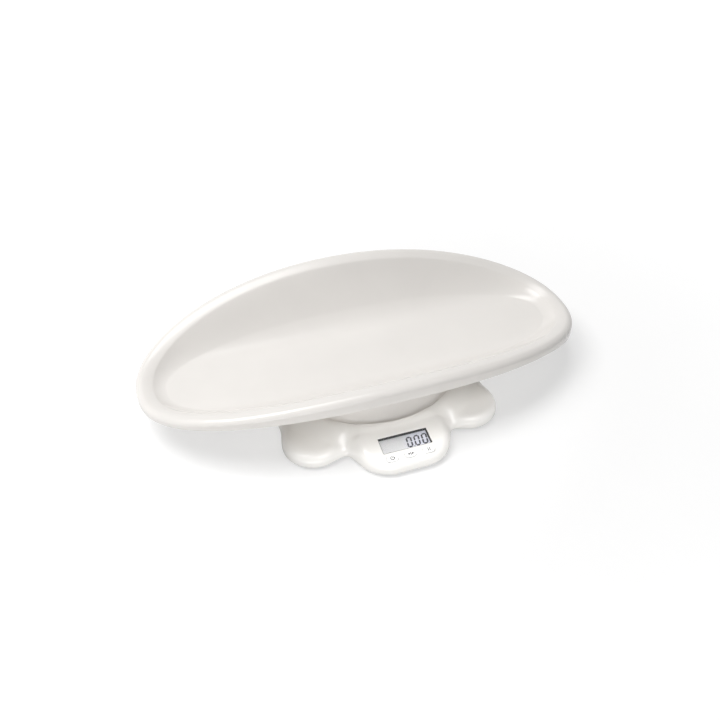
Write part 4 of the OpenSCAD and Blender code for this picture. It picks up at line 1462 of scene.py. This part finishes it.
SCREW_SPOTS = [(58, -72), (98, -15), (90, 50), (38, 92)]
BOARD_SPOTS = [(-10.75, -18), (10.75, -18), (-29, 20), (29, 20)]
shell_places = [
    (side * x * MM, axis_y + y * MM, 3.6 * MM) for x, y in SCREW_SPOTS for side in (-1, 1)
]
board_places = [deck @ Vector((x * MM, y * MM, -12.2 * MM)) for x, y in BOARD_SPOTS]
shell_screw = screw_sizes(2.8 * MM, 1.6 * MM, 1.25 * MM, 10 * MM, (0, 0, 0))
board_screw = screw_sizes(2.2 * MM, 1.4 * MM, 0.9 * MM, 5 * MM, (DECK_TILT, 0, 0))
for set_name, places, sizes in (
    ("shell_screw_set", shell_places, shell_screw), ("board_screw_set", board_places, board_screw)
):
    screws = grow(set_name, turned_recipe(set_name, sizes, screw_profile), sizes, places)
    keep(screws, "base", "steel", set_name.replace("_set", "s"))

# %% [markdown]
# ## Rubber pads
#
# Four pads keep the scale from sliding on a table, and four small ones carry the tray. Round
# grooves in the underside let air out, so that a pad doesn't stick. The radius of the edge is the
# one a rubber mould can hold.

# %% Pads


def pad_sizes(radius, height, grooves):
    return {
        "Radius": (LENGTH, radius), "Height": (LENGTH, height), "Edge": (LENGTH, 0.4 * MM),
        "Groove depth": (LENGTH, 0.35 * MM), "Grooves": (LENGTH, grooves),
        "Turn": (VECTOR, (0, 0, 0)),
        "Around": (WHOLE, 73), "Material": (MATERIAL, rubber),
    }


def pad_profile(size, _):
    radius, high, edge = size["Radius"], size["Height"], size["Edge"]

    def underside(t):
        wave = (0.5 - (t * size["Grooves"] * (2 * math.pi)).math("COSINE") * 0.5) ** 4
        return (radius - edge) * t, size["Groove depth"] * wave

    return [
        (48, underside), (5, low_edge(radius, 0.0, edge)),
        (2, straight((radius, edge), (radius, high - edge))), (5, high_edge(radius, high, edge)),
        (4, straight((radius - edge, high), (radius * 0.0, high))),
    ]


foot_places = [(sx * PETAL_X, axis_y + sy * PETAL_Y, 0) for sx in (-1, 1) for sy in (-1, 1)]
lug_places = [
    (LUG_RING * math.cos(a), axis_y + LUG_RING * math.sin(a), PLATFORM_Z) for a in LUG_TURNS
]
for pad_name, body, places, sizes in (
    ("foot_pad_set", "base", foot_places, pad_sizes(14 * MM, 2 * MM, 4.0)),
    ("tray_pad_set", "tray", lug_places, pad_sizes(6 * MM, LUG_BOTTOM - PLATFORM_Z, 2.0)),
):
    pads = grow(pad_name, turned_recipe(pad_name, sizes, pad_profile), sizes, places)
    keep(pads, body, "rubber", pad_name.replace("_set", "s"))

# %% [markdown]
# ## Battery cells
#
# An AAA cell is a drawn steel can: a flat base, a crimp near its top, a shoulder and a small
# button. Neighbours lie head to tail, so each one gets its own turn and its own mesh.

# %% Cells
CRIMP_AT, CRIMP_SHARPNESS = 0.96, 60


def cell_sizes(radius, length, turn):
    return {
        "Radius": (LENGTH, radius), "Length": (LENGTH, length), "Button": (LENGTH, 1.9 * MM),
        "Button height": (LENGTH, 1 * MM), "Edge": (LENGTH, 0.5 * MM), "Crimp": (LENGTH, 0.22 * MM),
        "Turn": (VECTOR, turn), "Around": (WHOLE, 65), "Material": (MATERIAL, jacket),
    }


def cell_profile(size, _):
    radius, length, edge, button = size["Radius"], size["Length"], size["Edge"], size["Button"]
    shoulder, face, soft = length - size["Button height"], radius - edge, edge * 0.6

    def side(t):
        crimp = clamped(1 - (t - CRIMP_AT).math("ABSOLUTE") * CRIMP_SHARPNESS) * size["Crimp"]
        return radius - crimp, mixed(edge, shoulder - edge, t)

    return [
        (3, straight((face * 0.0, size["Crimp"]), (face * 0.8, edge * 0.0))),
        (3, straight((face * 0.8, edge * 0.0), (face, edge * 0.0))),
        (5, low_edge(radius, 0.0, edge)), (100, side), (5, high_edge(radius, shoulder, edge)),
        (4, straight((face, shoulder), (button, shoulder))),
        (3, straight((button, shoulder), (button, length - soft))),
        (4, high_edge(button, length, soft)),
        (3, straight((button - soft, length), (button * 0.0, length))),
    ]


for number in range(1, 5):
    low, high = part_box(f"battery_{number}")
    button_front = number % 2 == 1
    turn = (QUARTER if button_front else -QUARTER, 0, 0)
    sizes = cell_sizes((high.x - low.x) / 2, high.y - low.y, turn)
    place = ((low.x + high.x) / 2, high.y if button_front else low.y, (low.z + high.z) / 2)
    cell_name = f"battery_cell_{number}"
    cell = grow(cell_name, turned_recipe(cell_name, sizes, cell_profile), sizes, [place])
    keep(cell, "base", "battery_jacket", f"battery_{number}")

# %% [markdown]
# ## Finishes for the other pieces
#
# The pieces whose CAD shape is already right keep it, and get a finish for each of their material
# slots. A table from the record's slot to the finish does this for all of them at once.

# %% Finishes by slot
SLOT_FINISHES = {
    "tray_plastic": tray_plastic, "base_plastic": base_plastic, "key_plastic": key_plastic,
    "black_plastic": frame_plastic, "holder_plastic": holder_plastic, "rubber": rubber,
    "lens": clear_window, "lcd": display_cell, "zebra": zebra_rubber, "board": board_lacquer,
    "chip": chip_epoxy, "steel": screw_steel, "cell_steel": rolled_steel, "nickel": nickel,
    "battery_jacket": jacket, "wire_grey": grey_wire, "wire_red": red_wire,
}
for row in frame["record"]["subparts"]:
    node = frame["nodes"][row["node"]]
    node.data.materials.clear()
    node.data.materials.append(SLOT_FINISHES[row["material_slot"]])

# %% [markdown]
# ## Floor and light
#
# The photograph has a white floor with no edge, and soft shadows close under the tray and the base.
# More light would bleach the plastic too, so the floor itself is brought to white: to a camera ray
# it has a darker paint, which keeps the shadow, and a glow that grows with the distance from the
# scale. To every other ray it is plain pale paint, which throws light back up at the scale.

# %% Floor
FLOOR_HALF = 6.0
SHADE_COLOUR, BOUNCE_COLOUR = 0.5, 0.93
NEAR_LIFT, FAR_LIFT = 0.55, 0.8
NEAR_REACH, FAR_REACH = 0.3, 1.1


def camera_share(tree):
    """1 for rays that come from the camera, a mirror or glass, as a Field."""
    path = tree.nodes.new("ShaderNodeLightPath")
    share = Field(tree, path.outputs["Is Camera Ray"])
    share = share.math("MAXIMUM", Field(tree, path.outputs["Is Glossy Ray"]))
    return share.math("MAXIMUM", Field(tree, path.outputs["Is Transmission Ray"]))


def from_scale(tree):
    """Distance from the scale's middle, as a Field."""
    place = add_node(tree, "ShaderNodeTexCoord").outputs["Object"]
    length = add_node(tree, "ShaderNodeVectorMath", {"operation": "LENGTH"}, Vector=place)
    return Field(tree, length.outputs["Value"])


floor_paint = finish("pale_floor", linear(0.97, 0.97, 0.972), 0.01, 3, (0.7, 0.8), 8, 0.02, 200)
floor_tree, paint_shader = floor_paint.node_tree, shader_of(floor_paint)
seen = camera_share(floor_tree)
seen_colour = tint(floor_tree, seen, (BOUNCE_COLOUR,) * 3, (SHADE_COLOUR,) * 3)
plug(floor_tree, seen_colour, paint_shader.inputs["Base Color"])
lift = ranged(from_scale(floor_tree), NEAR_REACH, FAR_REACH, NEAR_LIFT, FAR_LIFT)
paint_shader.inputs["Emission Color"].default_value = (1, 1, 1, 1)
plug(floor_tree, seen * lift, paint_shader.inputs["Emission Strength"])
FLOOR_CORNERS = ((-1, -1), (1, -1), (1, 1), (-1, 1))
floor_corners = [(sx * FLOOR_HALF, sy * FLOOR_HALF, 0) for sx, sy in FLOOR_CORNERS]
floor = piece_from("floor", floor_corners, [(0, 1, 2, 3)], floor_paint)
floor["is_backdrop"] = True
print("floor", 2 * FLOOR_HALF, "m across")

# %% [markdown]
# ## Lamps
#
# A large lamp above the left end lights the floor of the bowl and leaves its back wall in half
# shade, and a wide sun stands for the ceiling. A low card in front keeps the rim's outer side from
# going grey. The tray hangs over the base and would leave it dull, so a fourth lamp in front is
# linked to the base's pieces alone: it lights nothing else, as a flag beside a real lamp would
# arrange.

# %% Lamps and world


def lamp(name, kind, place, aim, energy):
    """A lamp at a place that faces a point; its energy is in watts, a sun's per square metre."""
    data = bpy.data.lights.new(name, kind)
    data.energy = energy
    piece = bpy.data.objects.new(name, data)
    piece.location = place
    piece.rotation_euler = (Vector(place) - Vector(aim)).to_track_quat("Z", "Y").to_euler()
    bpy.context.scene.collection.objects.link(piece)
    return data


LAMP_AIM = (0, 0, 0.03)
lamp("soft_box", "AREA", (-0.75, 0.15, 1.45), LAMP_AIM, 16).size = 0.8
lamp("skylight", "SUN", (-0.1, 0.4, 1.5), LAMP_AIM, 0.8).angle = math.radians(25)
lamp("front_box", "AREA", (0.26, -0.68, 1.1), (0, -0.1, 0.02), 7.4).size = 0.6
low_card = lamp("low_card", "AREA", (-0.35, -1.25, 0.07), (0, 0, 0.05), 3.9)
low_card.shape, low_card.size, low_card.size_y = "RECTANGLE", 1.0, 0.1

NOT_LIT_FROM_THE_FRONT = ("tray", "tray_bowl", "tray_foot", "floor")
base_pieces = bpy.data.collections.new("lit_from_the_front")
for piece in bpy.data.objects:
    if piece.type == "MESH" and piece.name not in NOT_LIT_FROM_THE_FRONT:
        base_pieces.objects.link(piece)
bpy.data.objects["front_box"].light_linking.receiver_collection = base_pieces

WORLD_FILL = 0.14
world = bpy.data.worlds.new("world")
bpy.context.scene.world = world
world.use_nodes = True
world_tree = world.node_tree
background = world_tree.nodes["Background"]
background.inputs["Color"].default_value = (1, 1, 1, 1)
world_strength = camera_share(world_tree) * (1 - WORLD_FILL) + WORLD_FILL
plug(world_tree, world_strength, background.inputs["Strength"])
bpy.context.scene.view_settings.view_transform = "Standard"

# %% [markdown]
# ## Measure and finish
#
# The dressed scale has to be exactly as large as the imported one. Both boxes are printed.

# %% Sizes of both boxes
visual_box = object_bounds()
sizes = {"cad": [list(corner) for corner in cad_box], "visual": [list(corner) for corner in visual_box]}
print("cad box", [[round(v, 4) for v in corner] for corner in cad_box])
print("visual box", [[round(v, 4) for v in corner] for corner in visual_box])
